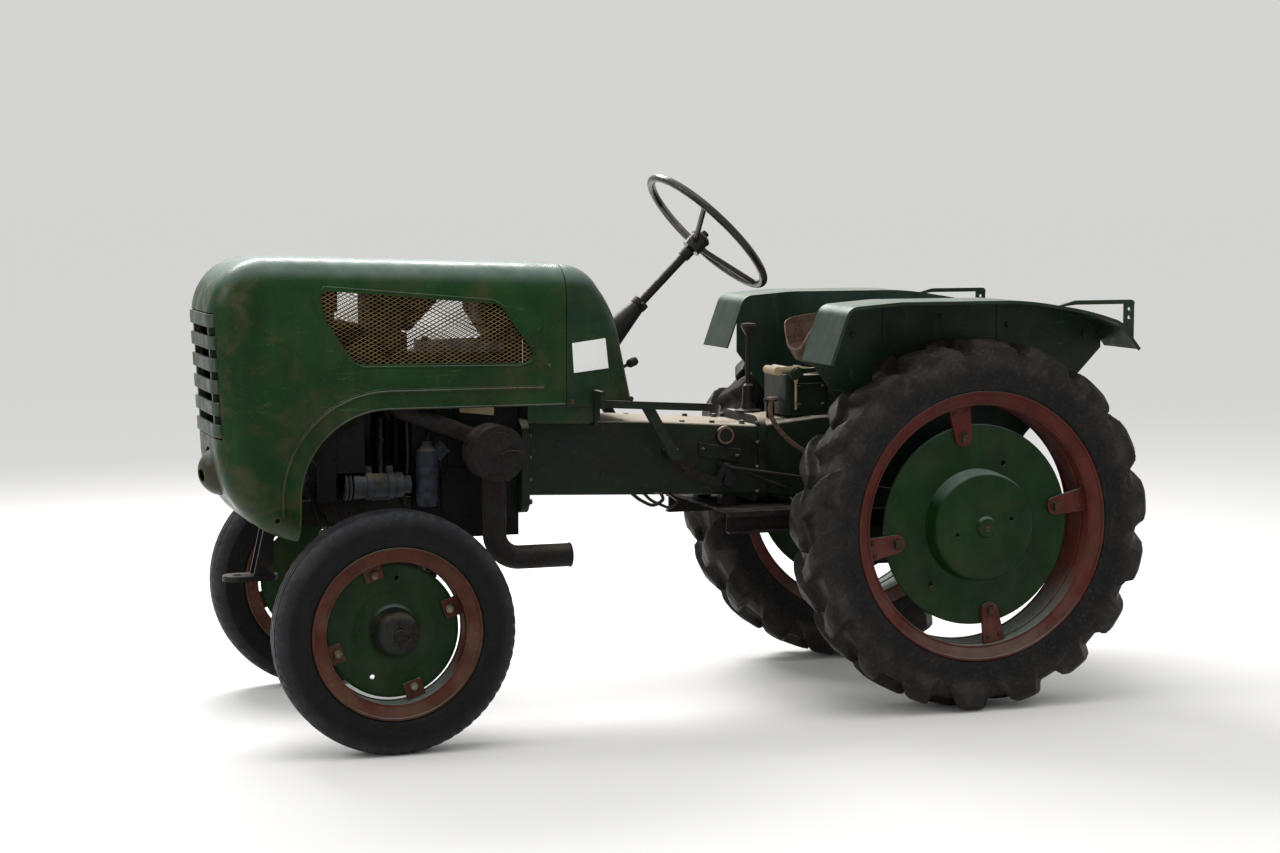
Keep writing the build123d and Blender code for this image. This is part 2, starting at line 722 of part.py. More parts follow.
# Gearbox tunnel with the clutch housing in front and the rear transmission case
case_back_x = -160.0
case_low_z = 375.0
tunnel_profile = [
    # ahead, height, corner radius
    (1222.0, 812.0, 10.0),
    (873.0, 803.0, 10.0),
    (515.0, 780.0, 10.0),
    (330.0, 800.0, 10.0),
    (case_back_x, 800.0, 25.0),
    (case_back_x, case_low_z, 25.0),
    (200.0, case_low_z, 60.0),
    (330.0, 560.0, 60.0),
    (500.0, 583.0, 20.0),
    (1222.0, 608.0, 20.0),
]
tunnel_half = 138.0
flange_half = 166.0
with BuildPart() as gearbox:
    add(side_prism(tunnel_profile, -tunnel_half, tunnel_half))
    long_edges = [e for f in gearbox.faces().filter_by(Axis.Y) for e in f.edges()]
    fillet(long_edges, 9.0)
    for x_low, x_high, half, z_low, z_high in (
        # flange: back, front, half width, bottom, top
        (1200.0, 1222.0, flange_half, 560.0, 816.0),
        (500.0, 522.0, 150.0, 560.0, 806.0),
    ):
        with BuildSketch(Plane.YZ.offset(ahead(x_low))) as flange:
            with Locations((0, (z_low + z_high) / 2)):
                RectangleRounded(2 * half, z_high - z_low, 40.0)
        extrude(flange.sketch, amount=x_high - x_low)
    with BuildSketch(at_y(tunnel_half + 14.0)) as boss:
        with Locations((ahead(622.0), 755.0)):
            Circle(27.0)
    extrude(boss.sketch, amount=2 * (tunnel_half + 14.0))
    cowl_seat_y = body_half - sheet - pin_gap
    add(box_between((1020.0, -cowl_seat_y, 800.0), (1028.0, cowl_seat_y, hood_low_z + 15.0)))
gearbox.part.label = "gearbox"
export_step(gearbox.part, "parts/gearbox.step")

# Rear axle tubes with brake housings, fender brackets and the seats of the wheel hubs
tube_radius = 60.0
brake_radius = 98.0
fender_wall_y = 288.0
bracket_top_z = 735.0
with BuildPart() as axle_half:
    with BuildSketch(wheel_section(ahead(0), 0, rear_tyre_radius)) as tube_section:
        with BuildLine():
            Polyline(
                (tunnel_half + running_gap, 0), (tunnel_half + running_gap, 92.0), (tunnel_half + 20.0, 92.0),
                (tunnel_half + 34.0, tube_radius), (248.0, tube_radius), (250.0, brake_radius),
                (rear_hub_inner_y - 12.0, brake_radius), (rear_hub_inner_y - running_gap, 70.0),
                (rear_hub_inner_y - running_gap, 0),
                close=True,
            )
        make_face()
    revolve(tube_section.sketch, axis=Axis((ahead(0), 0, rear_tyre_radius), (0, 1, 0)))
    add(box_between((-62.0, 262.0, 560.0), (62.0, fender_wall_y - pin_gap, bracket_top_z)))
axle_half.part.label = "axle_housing_left"
save_pair(axle_half, "axle_housing")

# Fenders: rolled top with a front skirt, an outer lip and a wall down to the axle bracket
fender_outer_y = 490.0
fender_sheet = 4.0
lip_depth = 9.0
fender_clearance = 104.0
fender_top_z = 2 * rear_tyre_radius + fender_clearance
fender_line = [
    # ahead, height, corner radius
    (452.0, fender_top_z - 167.0, 0.0),
    (397.0, fender_top_z - 12.0, 40.0),
    (244.0, fender_top_z, 250.0),
    (-135.0, fender_top_z, 900.0),
    (-336.0, fender_top_z - 32.0, 900.0),
    (-436.0, fender_top_z - 64.0, 60.0),
    (-497.0, fender_top_z - 141.0, 0.0),
]


def fender_height(x):
    """Height of the fender's skin this far along, on one of its straight stretches."""
    for (x_high, z_high, r_high), (x_low, z_low, r_low) in zip(fender_line, fender_line[1:]):
        if x_low <= x <= x_high:
            return z_low + (z_high - z_low) * (x - x_low) / (x_high - x_low)


def under_line(depth):
    """The fender's line this deep under its skin, from the skirt's foot to the tail, with its bends concentric."""
    normals = []
    for (x_a, z_a, r_a), (x_b, z_b, r_b) in zip(fender_line, fender_line[1:]):
        length = ((x_b - x_a) ** 2 + (z_b - z_a) ** 2) ** 0.5
        normals.append(((z_a - z_b) / length, (x_b - x_a) / length))
    lower = []
    for (x, z, r), first, last in zip(fender_line, normals[:1] + normals, normals + normals[-1:]):
        reach = depth / (1 + first[0] * last[0] + first[1] * last[1])
        lower.append((x + reach * (first[0] + last[0]), z + reach * (first[1] + last[1]), max(r - depth, 0.0)))
    return lower


def fender_band(y_low, y_high, depth):
    """Strip of the fender between two places across the tractor, as deep as given under its skin."""
    return side_prism(fender_line + under_line(depth)[::-1], y_low, y_high)


def under_fender(y_low, y_high):
    """Everything under the fender's skin between two places across the tractor, down to its wall's foot."""
    return side_prism(fender_line + [(fender_line[-1][0], 600.0, 0.0), (fender_line[0][0], 600.0, 0.0)], y_low, y_high)


wall_profile = [
    # ahead, height, corner radius
    (420.0, 960.0, 0.0),
    (300.0, 800.0, 20.0),
    (215.0, 640.0, 20.0),
    (-180.0, 640.0, 20.0),
    (-240.0, 745.0, 20.0),
    (-480.0, 990.0, 0.0),
    (-480.0, fender_top_z + 62.0, 0.0),
    (420.0, fender_top_z + 62.0, 0.0),
]
with BuildPart() as fender:
    add(fender_band(fender_wall_y, fender_outer_y, fender_sheet))
    add(fender_band(fender_outer_y - fender_sheet, fender_outer_y, lip_depth))
    wall_plate = side_prism(wall_profile, fender_wall_y, fender_wall_y + fender_sheet)
    add(wall_plate & under_fender(fender_wall_y - 1.0, fender_wall_y + fender_sheet + 1.0))
save_pair(fender, "fender")


def bar_between(start, end, radius, bore=0.0):
    """Round bar or tube between two places given as (ahead, y, z)."""
    low = Vector(ahead(start[0]), start[1], start[2])
    high = Vector(ahead(end[0]), end[1], end[2])
    with BuildPart() as bar:
        with BuildSketch(Plane(origin=low, z_dir=high - low)) as ring:
            Circle(radius)
            if bore:
                Circle(bore, mode=Mode.SUBTRACT)
        extrude(ring.sketch, amount=(high - low).length)
    return bar.part


# Grab handles: a bent bar over the tail of each fender, on an upright plate with two bolt holes
handle_y = 460.0
handle_half = 6.0
handle_top_z = fender_top_z - 4.0
handle_foot_x = -250.0
plate_back_x = -489.0
plate_front_x = -457.0
plate_half = 3.0
plate_middle_x = ahead((plate_front_x + plate_back_x) / 2)
plate_hole_radius = 5.0
plate_hole_drops = (26.0, 50.0)
handle_outline = [
    # ahead, height, corner radius
    (handle_foot_x, fender_height(handle_foot_x) + pin_gap, 0.0),
    (handle_foot_x - 52.0, handle_top_z, 30.0),
    (plate_back_x, handle_top_z, 12.0),
    (plate_back_x, handle_top_z - 12.0, 0.0),
    (handle_foot_x - 52.0, handle_top_z - 12.0, 18.0),
    (handle_foot_x - 14.0, fender_height(handle_foot_x - 14.0) + pin_gap, 0.0),
]
plate_outline = [
    # ahead, height, corner radius
    (plate_front_x, fender_height(plate_front_x) + pin_gap, 0.0),
    (plate_front_x, handle_top_z - 6.0, 0.0),
    (plate_back_x, handle_top_z - 6.0, 0.0),
    (plate_back_x, fender_height(plate_back_x) + pin_gap, 0.0),
]
with BuildPart() as grab_handles:
    for y in (handle_y, -handle_y):
        add(side_prism(handle_outline, y - handle_half, y + handle_half))
        add(side_prism(plate_outline, y - plate_half, y + plate_half))
    with BuildSketch(at_y(handle_y + plate_half)) as plate_holes:
        with Locations(*[(plate_middle_x, handle_top_z - drop) for drop in plate_hole_drops]):
            Circle(plate_hole_radius)
    extrude(plate_holes.sketch, amount=2 * (handle_y + plate_half), mode=Mode.SUBTRACT)
grab_handles.part.label = "grab_handles"
export_step(grab_handles.part, "parts/grab_handles.step")

# Seat: leaf spring on the transmission case and a bare pressed pan
seat_x = 170.0
pan_low_z = 930.0
pan_sheet = 4.0
spring_thick = 8.0
case_top_z = 800.0
with BuildPart() as seat_spring:
    add(side_prism([
        # ahead, height, corner radius
        (-120.0, case_top_z + pin_gap, 0.0),
        (-55.0, case_top_z + pin_gap, 20.0),
        (60.0, pan_low_z - pin_gap - spring_thick, 40.0),
        (seat_x + 60.0, pan_low_z - pin_gap - spring_thick, 0.0),
        (seat_x + 60.0, pan_low_z - pin_gap, 0.0),
        (56.0, pan_low_z - pin_gap, 48.0),
        (-59.0, case_top_z + pin_gap + spring_thick, 28.0),
        (-120.0, case_top_z + pin_gap + spring_thick, 0.0),
    ], -28.0, 28.0))
seat_spring.part.label = "seat_spring"
export_step(seat_spring.part, "parts/seat_spring.step")

with BuildPart() as seat_pan:
    pan_centre = (ahead(seat_x), 0, 0)
    with BuildSketch(Plane(origin=pan_centre, x_dir=(1, 0, 0), z_dir=(0, -1, 0))) as pan_section:
        with BuildLine():
            Polyline(
                (0, pan_low_z), (120.0, pan_low_z), (166.0, 950.0), (191.0, 990.0), (203.0, 1050.0), (208.0, 1120.0),
                (208.0 - pan_sheet, 1120.0), (203.0 - pan_sheet, 1050.0), (187.0, 992.0), (163.0, 954.0),
                (118.5, pan_low_z + pan_sheet), (0, pan_low_z + pan_sheet),
                close=True,
            )
        make_face()
    revolve(pan_section.sketch, axis=Axis(pan_centre, (0, 0, 1)))
    add(side_prism([
        # ahead, height, corner radius
        (seat_x + 250.0, 952.0, 0.0),
        (seat_x + 188.0, 954.0, 0.0),
        (seat_x + 178.0, 1030.0, 20.0),
        (seat_x + 168.0, 1058.0, 15.0),
        (seat_x + 130.0, 1067.0, 30.0),
        (seat_x, 1080.0, 400.0),
        (seat_x - 170.0, 1112.0, 0.0),
        (seat_x - 250.0, 1112.0, 0.0),
        (seat_x - 250.0, 1200.0, 0.0),
        (seat_x + 250.0, 1200.0, 0.0),
    ], -240.0, 240.0), mode=Mode.SUBTRACT)
seat_pan.part.label = "seat_pan"
export_step(seat_pan.part, "parts/seat_pan.step")

# Hydraulic lift box in front of the seat, with its short cross shaft and one arm on the left
lift_shaft = (400.0, 923.0)
with BuildPart() as lift_housing:
    with BuildSketch(Plane.XY.offset(case_top_z + pin_gap)) as lift_base:
        with Locations((ahead(350.0), 10.0)):
            RectangleRounded(134.0, 180.0, 10.0)
    extrude(lift_base.sketch, amount=115.0)
    add(bar_between((lift_shaft[0], -40.0, lift_shaft[1]), (lift_shaft[0], 142.0, lift_shaft[1]), 15.0))
    add(bar_between((lift_shaft[0], 112.0, lift_shaft[1]), (lift_shaft[0], 136.0, lift_shaft[1]), 19.0))
    add(side_prism([
        (lift_shaft[0], lift_shaft[1], 0.0), (lift_shaft[0], lift_shaft[1] + 13.0, 0.0),
        (316.0, 940.0, 12.0), (296.0, 912.0, 0.0), (304.0, 908.0, 0.0), (320.0, 928.0, 0.0),
    ], 116.0, 132.0))
lift_housing.part.label = "lift_housing"
export_step(lift_housing.part, "parts/lift_housing.step")

# Gear lever and the short lever beside it
lever_x = 497.0
lever_foot_z = 806.0 + pin_gap
with BuildPart() as shift_levers:
    with BuildSketch(Plane(origin=(ahead(lever_x), 0, 0), x_dir=(1, 0, 0), z_dir=(0, -1, 0))) as lever_section:
        with BuildLine():
            Polyline(
                (0, lever_foot_z), (38.0, lever_foot_z), (38.0, lever_foot_z + 5.0), (22.0, lever_foot_z + 9.0),
                (18.0, 832.0), (15.0, 882.0), (8.0, 888.0), (6.5, 1024.0), (9.0, 1028.0), (22.0, 1052.0),
                (20.0, 1060.0), (0, 1063.0),
                close=True,
            )
        make_face()
    revolve(lever_section.sketch, axis=Axis((ahead(lever_x), 0, 0), (0, 0, 1)))
    add(bar_between((440.0, 30.0, 789.7), (440.0, 30.0, 838.0), 12.0))
    add(bar_between((440.0, 30.0, 838.0), (440.0, 30.0, 845.0), 20.0))
shift_levers.part.label = "shift_levers"
export_step(shift_levers.part, "parts/shift_levers.step")

# Clutch and brake pedals, one each side of the tunnel
pedal_y = 200.0
pedal_pivot = (790.0, 712.0)
with BuildPart() as pedals:
    pedal_hub = bar_between((pedal_pivot[0], tunnel_half + pin_gap, pedal_pivot[1]),
                            (pedal_pivot[0], pedal_y + 15.0, pedal_pivot[1]), 17.0)
    pedal_link = side_prism([(775.0, 700.0, 6.0), (808.0, 700.0, 6.0), (896.0, 852.0, 6.0), (862.0, 852.0, 6.0)],
                            pedal_y + 5.0, pedal_y + 20.0)
    pedal_bar = side_prism([(870.0, 842.0, 0.0), (1024.0, 851.0, 0.0), (1024.0, 872.0, 0.0), (870.0, 863.0, 0.0)],
                           pedal_y + 19.0, pedal_y + 27.0)
    pedal_pad = side_prism([(1022.0, 852.0, 3.0), (1034.0, 852.0, 3.0), (1034.0, 900.0, 3.0), (1022.0, 900.0, 3.0)],
                           pedal_y + 19.0, pedal_y + 83.0)
    for piece in (pedal_hub, pedal_link, pedal_bar, pedal_pad):
        add(piece)
        mirror(piece, about=Plane.XZ)
    add(side_prism([(692.0, 832.0, 0.0), (880.0, 842.6, 0.0), (880.0, 863.6, 0.0), (692.0, 853.0, 0.0)],
                   pedal_y + 19.0, pedal_y + 27.0))
pedals.part.label = "pedals"
export_step(pedals.part, "parts/pedals.step")

# Brake rods from small levers on the tunnel to the brake housings
with BuildPart() as brake_rods:
    rod_boss = bar_between((616.0, tunnel_half + pin_gap, 633.0), (616.0, 172.0, 633.0), 19.0)
    rod_lever = side_prism([(603.0, 630.0, 5.0), (629.0, 630.0, 5.0), (634.0, 680.0, 5.0), (614.0, 680.0, 5.0)],
                           162.0, 172.0)
    pull_rod = bar_between((620.0, 176.0, 668.0), (84.0, 270.0, 585.0), 5.0)
    for piece in (rod_boss, rod_lever, pull_rod):
        add(piece)
        mirror(piece, about=Plane.XZ)
brake_rods.part.label = "brake_rods"
export_step(brake_rods.part, "parts/brake_rods.step")

# Tool frame slung under the tunnel: a cross plate and two side channels
frame_z = 545.0
channel_y = 250.0
with BuildPart() as tool_frame:
    add(box_between((400.0, -channel_y - 14.0, frame_z), (650.0, channel_y + 14.0, frame_z + 8.0)))
    for y in (-100.0, 100.0):
        add(box_between((580.0, y - 20.0, frame_z + 8.0), (620.0, y + 20.0, 585.4)))
    for y in (channel_y, -channel_y):
        add(box_between((102.0, y - 14.0, 492.0), (654.0, y + 14.0, frame_z)))
        add(box_between((102.0, y - 14.0 if y < 0 else y - 8.0, 498.0), (654.0, y + 8.0 if y < 0 else y + 14.0, 538.0)),
            mode=Mode.SUBTRACT)
tool_frame.part.label = "tool_frame"
export_step(tool_frame.part, "parts/tool_frame.step")

# Drawbar and power take-off at the rear
drawbar_hole_x = -335.0
drawbar_thick = 24.0
with BuildPart() as drawbar:
    with BuildSketch(Plane.XY.offset(case_low_z - pin_gap - drawbar_thick)) as bar_plan:
        with Locations((ahead(-125.0), 0)):
            SlotOverall(490.0, 76.0)
        with Locations((ahead(drawbar_hole_x), 0)):
            Circle(13.0, mode=Mode.SUBTRACT)
    extrude(bar_plan.sketch, amount=drawbar_thick)
drawbar.part.label = "drawbar"
export_step(drawbar.part, "parts/drawbar.step")

pto_z = 550.0
pto_radius = 17.5
with BuildPart() as pto_shaft:
    add(bar_between((case_back_x - pin_gap, 0, pto_z), (case_back_x - 14.0, 0, pto_z), 42.0))
    add(bar_between((case_back_x - 14.0, 0, pto_z), (case_back_x - 82.0, 0, pto_z), pto_radius))
pto_shaft.part.label = "pto_shaft"
export_step(pto_shaft.part, "parts/pto_shaft.step")

# Engine block with its head and sump
engine_front_x = 1520.0
engine_half = 130.0
with BuildPart() as engine:
    add(side_prism([
        (1222.0 + pin_gap, 500.0, 0.0), (engine_front_x, 500.0, 0.0),
        (engine_front_x, 900.0, 0.0), (1222.0 + pin_gap, 900.0, 0.0),
    ], -engine_half, engine_half))
    add(box_between((1240.0, -105.0, 900.0), (1500.0, 105.0, 1000.0)))
engine.part.label = "engine"
export_step(engine.part, "parts/engine.step")

# Fan, pulleys and belt on the front of the engine
fan_z = 860.0
crank_z = 636.0
with BuildPart() as fan_drive:
    add(bar_between((engine_front_x + pin_gap, 0, crank_z), (1560.0, 0, crank_z), 30.0))
    add(bar_between((1536.0, 0, crank_z), (1556.0, 0, crank_z), 62.0))
    add(bar_between((engine_front_x + pin_gap, 0, fan_z), (1612.0, 0, fan_z), 22.0))
    add(bar_between((1536.0, 0, fan_z), (1556.0, 0, fan_z), 50.0))
    for y_low, y_high in ((46.0, 56.0), (-56.0, -46.0)):
        add(box_between((1540.0, min(y_low, y_high), crank_z), (1552.0, max(y_low, y_high), fan_z)))
    for n in range(4):
        blade = Rotation(n * 90.0, 0, 0) * Pos(0, 0, 85.0) * Rotation(0, 0, 25.0) * Box(
            5.0, 70.0, 130.0, mode=Mode.PRIVATE
        )
        add(Pos(ahead(1600.0), 0, fan_z) * blade)
fan_drive.part.label = "fan_drive"
export_step(fan_drive.part, "parts/fan_drive.step")

# Front frame: two rails, engine plate, axle pivot ears and the hood's hinge pins
rail_low_z = 545.0
rail_top_z = 615.0
rail_in = 98.0
rail_out = 125.0
rail_front_x = hood_pivot_x + 25.0
pivot_z = (beam_low_z + beam_top_z) / 2
with BuildPart() as front_frame:
    for y_low, y_high in ((rail_in, rail_out), (-rail_out, -rail_in)):
        add(box_between((engine_front_x + pin_gap, y_low, rail_low_z), (rail_front_x, y_high, rail_top_z)))
    add(box_between((engine_front_x + pin_gap, -rail_in, rail_low_z), (engine_front_x + 12.0, rail_in, 560.0)))
    add(box_between((rail_front_x - 30.0, -rail_in, rail_low_z), (rail_front_x, rail_in, rail_top_z)))
    add(box_between((1598.0, -rail_in, rail_low_z), (1714.0, rail_in, rail_low_z + 14.0)))
    for x_low in (1598.0, 1686.0):
        add(box_between((x_low, -42.0, pivot_z), (x_low + 28.0, 42.0, rail_low_z)))
        add(bar_between((x_low, 0, pivot_z), (x_low + 28.0, 0, pivot_z), 42.0))
    add(bar_between((1598.0, 0, pivot_z), (1714.0, 0, pivot_z), 12.0))
    for side in (1, -1):
        add(bar_between((hood_pivot_x, side * (rail_out - 8.0), hood_pivot_z),
                        (hood_pivot_x, side * (hinge_strap_y + hinge_strap_thick + 4.0), hood_pivot_z),
                        hood_pin_radius))
front_frame.part.label = "front_frame"
export_step(front_frame.part, "parts/front_frame.step")

# Axle beam with its pivot boss and the two kingpin sleeves
with BuildPart() as axle_beam:
    add(box_between((wheelbase - beam_half_x, -kingpin_y + 10.0, beam_low_z),
                    (wheelbase + beam_half_x, kingpin_y - 10.0, beam_top_z)))
    add(bar_between((1626.5, 0, pivot_z), (1685.5, 0, pivot_z), 38.0))
    with BuildSketch(Plane.XY.offset(sleeve_low_z)) as sleeves:
        with Locations((kingpin_x, kingpin_y), (kingpin_x, -kingpin_y)):
            Circle(sleeve_radius)
    extrude(sleeves.sketch, amount=sleeve_top_z - sleeve_low_z)
    with BuildSketch(Plane.XY.offset(sleeve_low_z)) as bores:
        with Locations((kingpin_x, kingpin_y), (kingpin_x, -kingpin_y)):
            Circle(kingpin_radius + pin_gap)
    extrude(bores.sketch, amount=sleeve_top_z - sleeve_low_z, mode=Mode.SUBTRACT)
    add(bar_between((1620.0, 0, pivot_z), (1690.0, 0, pivot_z), 12.0 + pin_gap), mode=Mode.SUBTRACT)
axle_beam.part.label = "axle_beam"
export_step(axle_beam.part, "parts/axle_beam.step")

# Front tow jaw under the frame's nose, with its pin hole
tow_hole_x = 1975.0
tow_thick = 14.0
tow_low_z = 392.0
tow_back_x = rail_front_x - 45.0
tow_cap_z = rail_low_z - pin_gap
with BuildPart() as tow_jaw:
    with BuildSketch(Plane.XY.offset(tow_low_z)) as jaw_plan:
        with Locations((ahead(tow_hole_x - 35.0), 0)):
            SlotOverall(150.0, 80.0)
        with Locations((ahead(tow_hole_x), 0)):
            Circle(12.0, mode=Mode.SUBTRACT)
    extrude(jaw_plan.sketch, amount=tow_thick)
    add(box_between((tow_back_x, -rail_in, tow_cap_z - 10.0), (tow_back_x + 25.0, rail_in, tow_cap_z)))
    for y in (-34.0, 24.0):
        add(side_prism([
            (tow_back_x, tow_low_z + 2.0, 0.0), (tow_back_x + 56.0, tow_low_z + tow_thick, 0.0),
            (tow_back_x + 25.0, tow_cap_z - 2.0, 0.0), (tow_back_x, tow_cap_z - 2.0, 0.0),
        ], y, y + 10.0))
tow_jaw.part.label = "tow_jaw"
export_step(tow_jaw.part, "parts/tow_jaw.step")

# Radiator on the rails
with BuildPart() as radiator:
    add(box_between((1738.0, -178.0, rail_top_z + pin_gap), (1790.0, 178.0, 1120.0)))
    add(box_between((1728.0, -170.0, 1120.0), (1800.0, 170.0, 1180.0)))
    add(bar_between((1764.0, 0, 1180.0), (1764.0, 0, 1196.0), 26.0))
radiator.part.label = "radiator"
export_step(radiator.part, "parts/radiator.step")

# Dynamo on the left rail
with BuildPart() as dynamo:
    add(bar_between((1556.0, 160.0, 654.0), (1692.0, 160.0, 654.0), 33.0))
    add(bar_between((1534.0, 160.0, 654.0), (1556.0, 160.0, 654.0), 24.0))
    add(box_between((1590.0, rail_in + 4.0, rail_top_z + pin_gap), (1650.0, 170.0, 640.0)))
dynamo.part.label = "dynamo"
export_step(dynamo.part, "parts/dynamo.step")

# Exhaust: stub from the engine, silencer across the tractor, pipe down and back
silencer = (1325.0, 742.0)
silencer_radius = 74.0
pipe_y = 252.0
pipe_radius = 32.0
pipe_z = 456.0
pipe_end_x = 1114.0
with BuildPart() as exhaust:
    add(bar_between((silencer[0], engine_half + pin_gap, silencer[1]), (silencer[0], 205.0, silencer[1]), 26.0))
    add(bar_between((silencer[0], 202.0, silencer[1]), (silencer[0], 304.0, silencer[1]), silencer_radius))
    with BuildLine() as pipe_path:
        FilletPolyline(
            (ahead(silencer[0]), pipe_y, silencer[1]),
            (ahead(silencer[0]), pipe_y, pipe_z),
            (ahead(pipe_end_x), pipe_y, pipe_z),
            radius=[68.0],
        )
    with BuildSketch(Plane(origin=pipe_path.line @ 0, z_dir=pipe_path.line % 0)) as pipe_section:
        Circle(pipe_radius)
    sweep(pipe_section.sketch, path=pipe_path.line)
    add(bar_between((pipe_end_x - 1.0, pipe_y, pipe_z), (pipe_end_x + 120.0, pipe_y, pipe_z), pipe_radius - 3.0),
        mode=Mode.SUBTRACT)
exhaust.part.label = "exhaust"
export_step(exhaust.part, "parts/exhaust.step")
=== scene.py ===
from math import cos, radians, sin, tau

import bmesh
import bpy
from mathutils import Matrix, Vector
from mathutils.bvhtree import BVHTree


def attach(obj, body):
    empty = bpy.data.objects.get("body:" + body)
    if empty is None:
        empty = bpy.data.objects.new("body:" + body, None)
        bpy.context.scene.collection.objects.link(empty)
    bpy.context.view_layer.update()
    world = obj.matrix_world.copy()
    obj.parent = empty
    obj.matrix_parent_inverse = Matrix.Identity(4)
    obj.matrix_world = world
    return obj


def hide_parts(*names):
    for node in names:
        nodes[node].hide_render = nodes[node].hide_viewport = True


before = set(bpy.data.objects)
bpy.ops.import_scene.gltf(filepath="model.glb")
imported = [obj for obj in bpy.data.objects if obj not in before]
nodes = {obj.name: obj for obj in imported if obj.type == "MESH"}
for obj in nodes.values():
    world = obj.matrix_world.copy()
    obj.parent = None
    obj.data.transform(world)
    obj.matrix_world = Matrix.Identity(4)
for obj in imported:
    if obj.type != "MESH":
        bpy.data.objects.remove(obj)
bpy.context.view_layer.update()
scene = bpy.context.scene

# Sizes are in millimetres, and X is measured ahead of the rear axle, until a form is finished in metres
rear_axle_x = -0.7795
wheelbase = 1656.0
rear_hub = Vector((0.0, 430.0, 517.0))
front_hub = Vector((wheelbase, 480.0, 315.0))
body_side_y = 215.0
sides = (("left", 1), ("right", -1))
forwards = Vector((1, 0, 0))
leftwards = Vector((0, 1, 0))
upwards = Vector((0, 0, 1))


def in_metres(place):
    """Row-frame place in metres of a point given in millimetres ahead of the rear axle."""
    return Vector((place[0] / 1000 + rear_axle_x, place[1] / 1000, place[2] / 1000))


def in_millimetres(place):
    """The same place back from metres to millimetres."""
    return Vector(((place.x - rear_axle_x) * 1000, place.y * 1000, place.z * 1000))


def colour(red, green, blue):
    """Colour as read from the photograph, 0 to 255, turned into Blender's linear values."""
    linear = [v / 255 / 12.92 if v <= 10 else ((v / 255 + 0.055) / 1.055) ** 2.4 for v in (red, green, blue)]
    return (*linear, 1.0)


def shade(tone, gain, lift=0.0):
    """A colour made darker or lighter."""
    return (*(gain * v + lift for v in tone[:3]), 1.0)


class Graph:
    """A material being built, with short calls for the nodes that it needs."""

    def __init__(self, name, roughness=0.5, metallic=0.0, specular=0.25):
        self.mat = bpy.data.materials.new(name)
        self.mat.use_nodes = True
        self.tree = self.mat.node_tree
        self.shader = self.tree.nodes["Principled BSDF"]
        self.shader.inputs["Roughness"].default_value = roughness
        self.shader.inputs["Metallic"].default_value = metallic
        self.shader.inputs["Specular IOR Level"].default_value = specular
        self.place = self.node("ShaderNodeTexCoord").outputs["Object"]
        self.flat = self.node("ShaderNodeNewGeometry").outputs["Normal"]
        self.up = self.node("ShaderNodeSeparateXYZ", {0: self.flat}).outputs[2]
        apart = self.node("ShaderNodeSeparateXYZ", {0: self.place})
        self.ahead, self.height = apart.outputs[0], apart.outputs[2]

    def node(self, kind, inputs=None, **settings):
        made = self.tree.nodes.new(kind)
        for key, value in settings.items():
            setattr(made, key, value)
        for key, value in (inputs or {}).items():
            if isinstance(value, bpy.types.NodeSocket):
                self.tree.links.new(value, made.inputs[key])
            else:
                made.inputs[key].default_value = value
        return made

    def noise(self, scale, detail=5.0, stretch=(1.0, 1.0, 1.0), warp=0.0, rough=0.55):
        at = self.place
        if stretch != (1.0, 1.0, 1.0):
            at = self.node("ShaderNodeMapping", {"Vector": at, "Scale": stretch}).outputs[0]
        inputs = {"Vector": at, "Scale": scale, "Detail": detail, "Distortion": warp, "Roughness": rough}
        return self.node("ShaderNodeTexNoise", inputs).outputs[0]

    def cells(self, scale):
        """Distance to the nearest edge between cells."""
        inputs = {"Vector": self.place, "Scale": scale}
        return self.node("ShaderNodeTexVoronoi", inputs, feature="DISTANCE_TO_EDGE").outputs["Distance"]

    def band(self, value, low, high, to_low=0.0, to_high=1.0):
        """0 below low, 1 above high, smooth between; low above high turns it round."""
        inputs = {"Value": value, "From Min": low, "From Max": high, "To Min": to_low, "To Max": to_high}
        return self.node("ShaderNodeMapRange", inputs, interpolation_type="SMOOTHSTEP").outputs[0]

    def patches(self, scale, low, high, detail=5.0, **kind):
        """Noise turned into patches: 0 where it is below low, 1 above high."""
        return self.band(self.noise(scale, detail, **kind), low, high)

    def settled(self, steep, level, *patches):
        """Patches that lie where a face points up, from steep to level."""
        return self.times(self.band(self.up, steep, level), self.patches(*patches))

    def maths(self, operation, a, b=0.0, clamp=True):
        return self.node("ShaderNodeMath", {0: a, 1: b}, operation=operation, use_clamp=clamp).outputs[0]

    def times(self, a, b):
        return self.maths("MULTIPLY", a, b)

    def plus(self, a, b):
        return self.maths("ADD", a, b)

    def mix(self, share, a, b):
        return self.node("ShaderNodeMix", {0: share, 6: a, 7: b}, data_type="RGBA").outputs[2]

    def rounded(self, radius):
        return self.node("ShaderNodeBevel", {"Radius": radius}, samples=4).outputs[0]

    def edges(self, radius=0.004):
        """1 on sharp outer edges, 0 elsewhere."""
        inputs = {0: self.rounded(radius), 1: self.flat}
        same = self.node("ShaderNodeVectorMath", inputs, operation="DOT_PRODUCT").outputs["Value"]
        return self.band(same, 0.985, 0.86)

    def bump(self, height, strength, distance, under=None):
        inputs = {"Height": height, "Strength": strength, "Distance": distance}
        if under is not None:
            inputs["Normal"] = under
        return self.node("ShaderNodeBump", inputs).outputs[0]

    def done(self, base, roughness=None, normal=None, metallic=None):
        linked = {"Base Color": base, "Roughness": roughness, "Normal": normal, "Metallic": metallic}
        for key, value in linked.items():
            if isinstance(value, bpy.types.NodeSocket):
                self.tree.links.new(value, self.shader.inputs[key])
            elif value is not None:
                self.shader.inputs[key].default_value = value
        return self.mat


scratch_kinds = [
    # stretch along each axis, how rare
    ((0.10, 1.0, 1.0), 0.64), ((0.7, 1.0, 0.34), 0.67), ((0.3, 1.0, 0.9), 0.66),
]


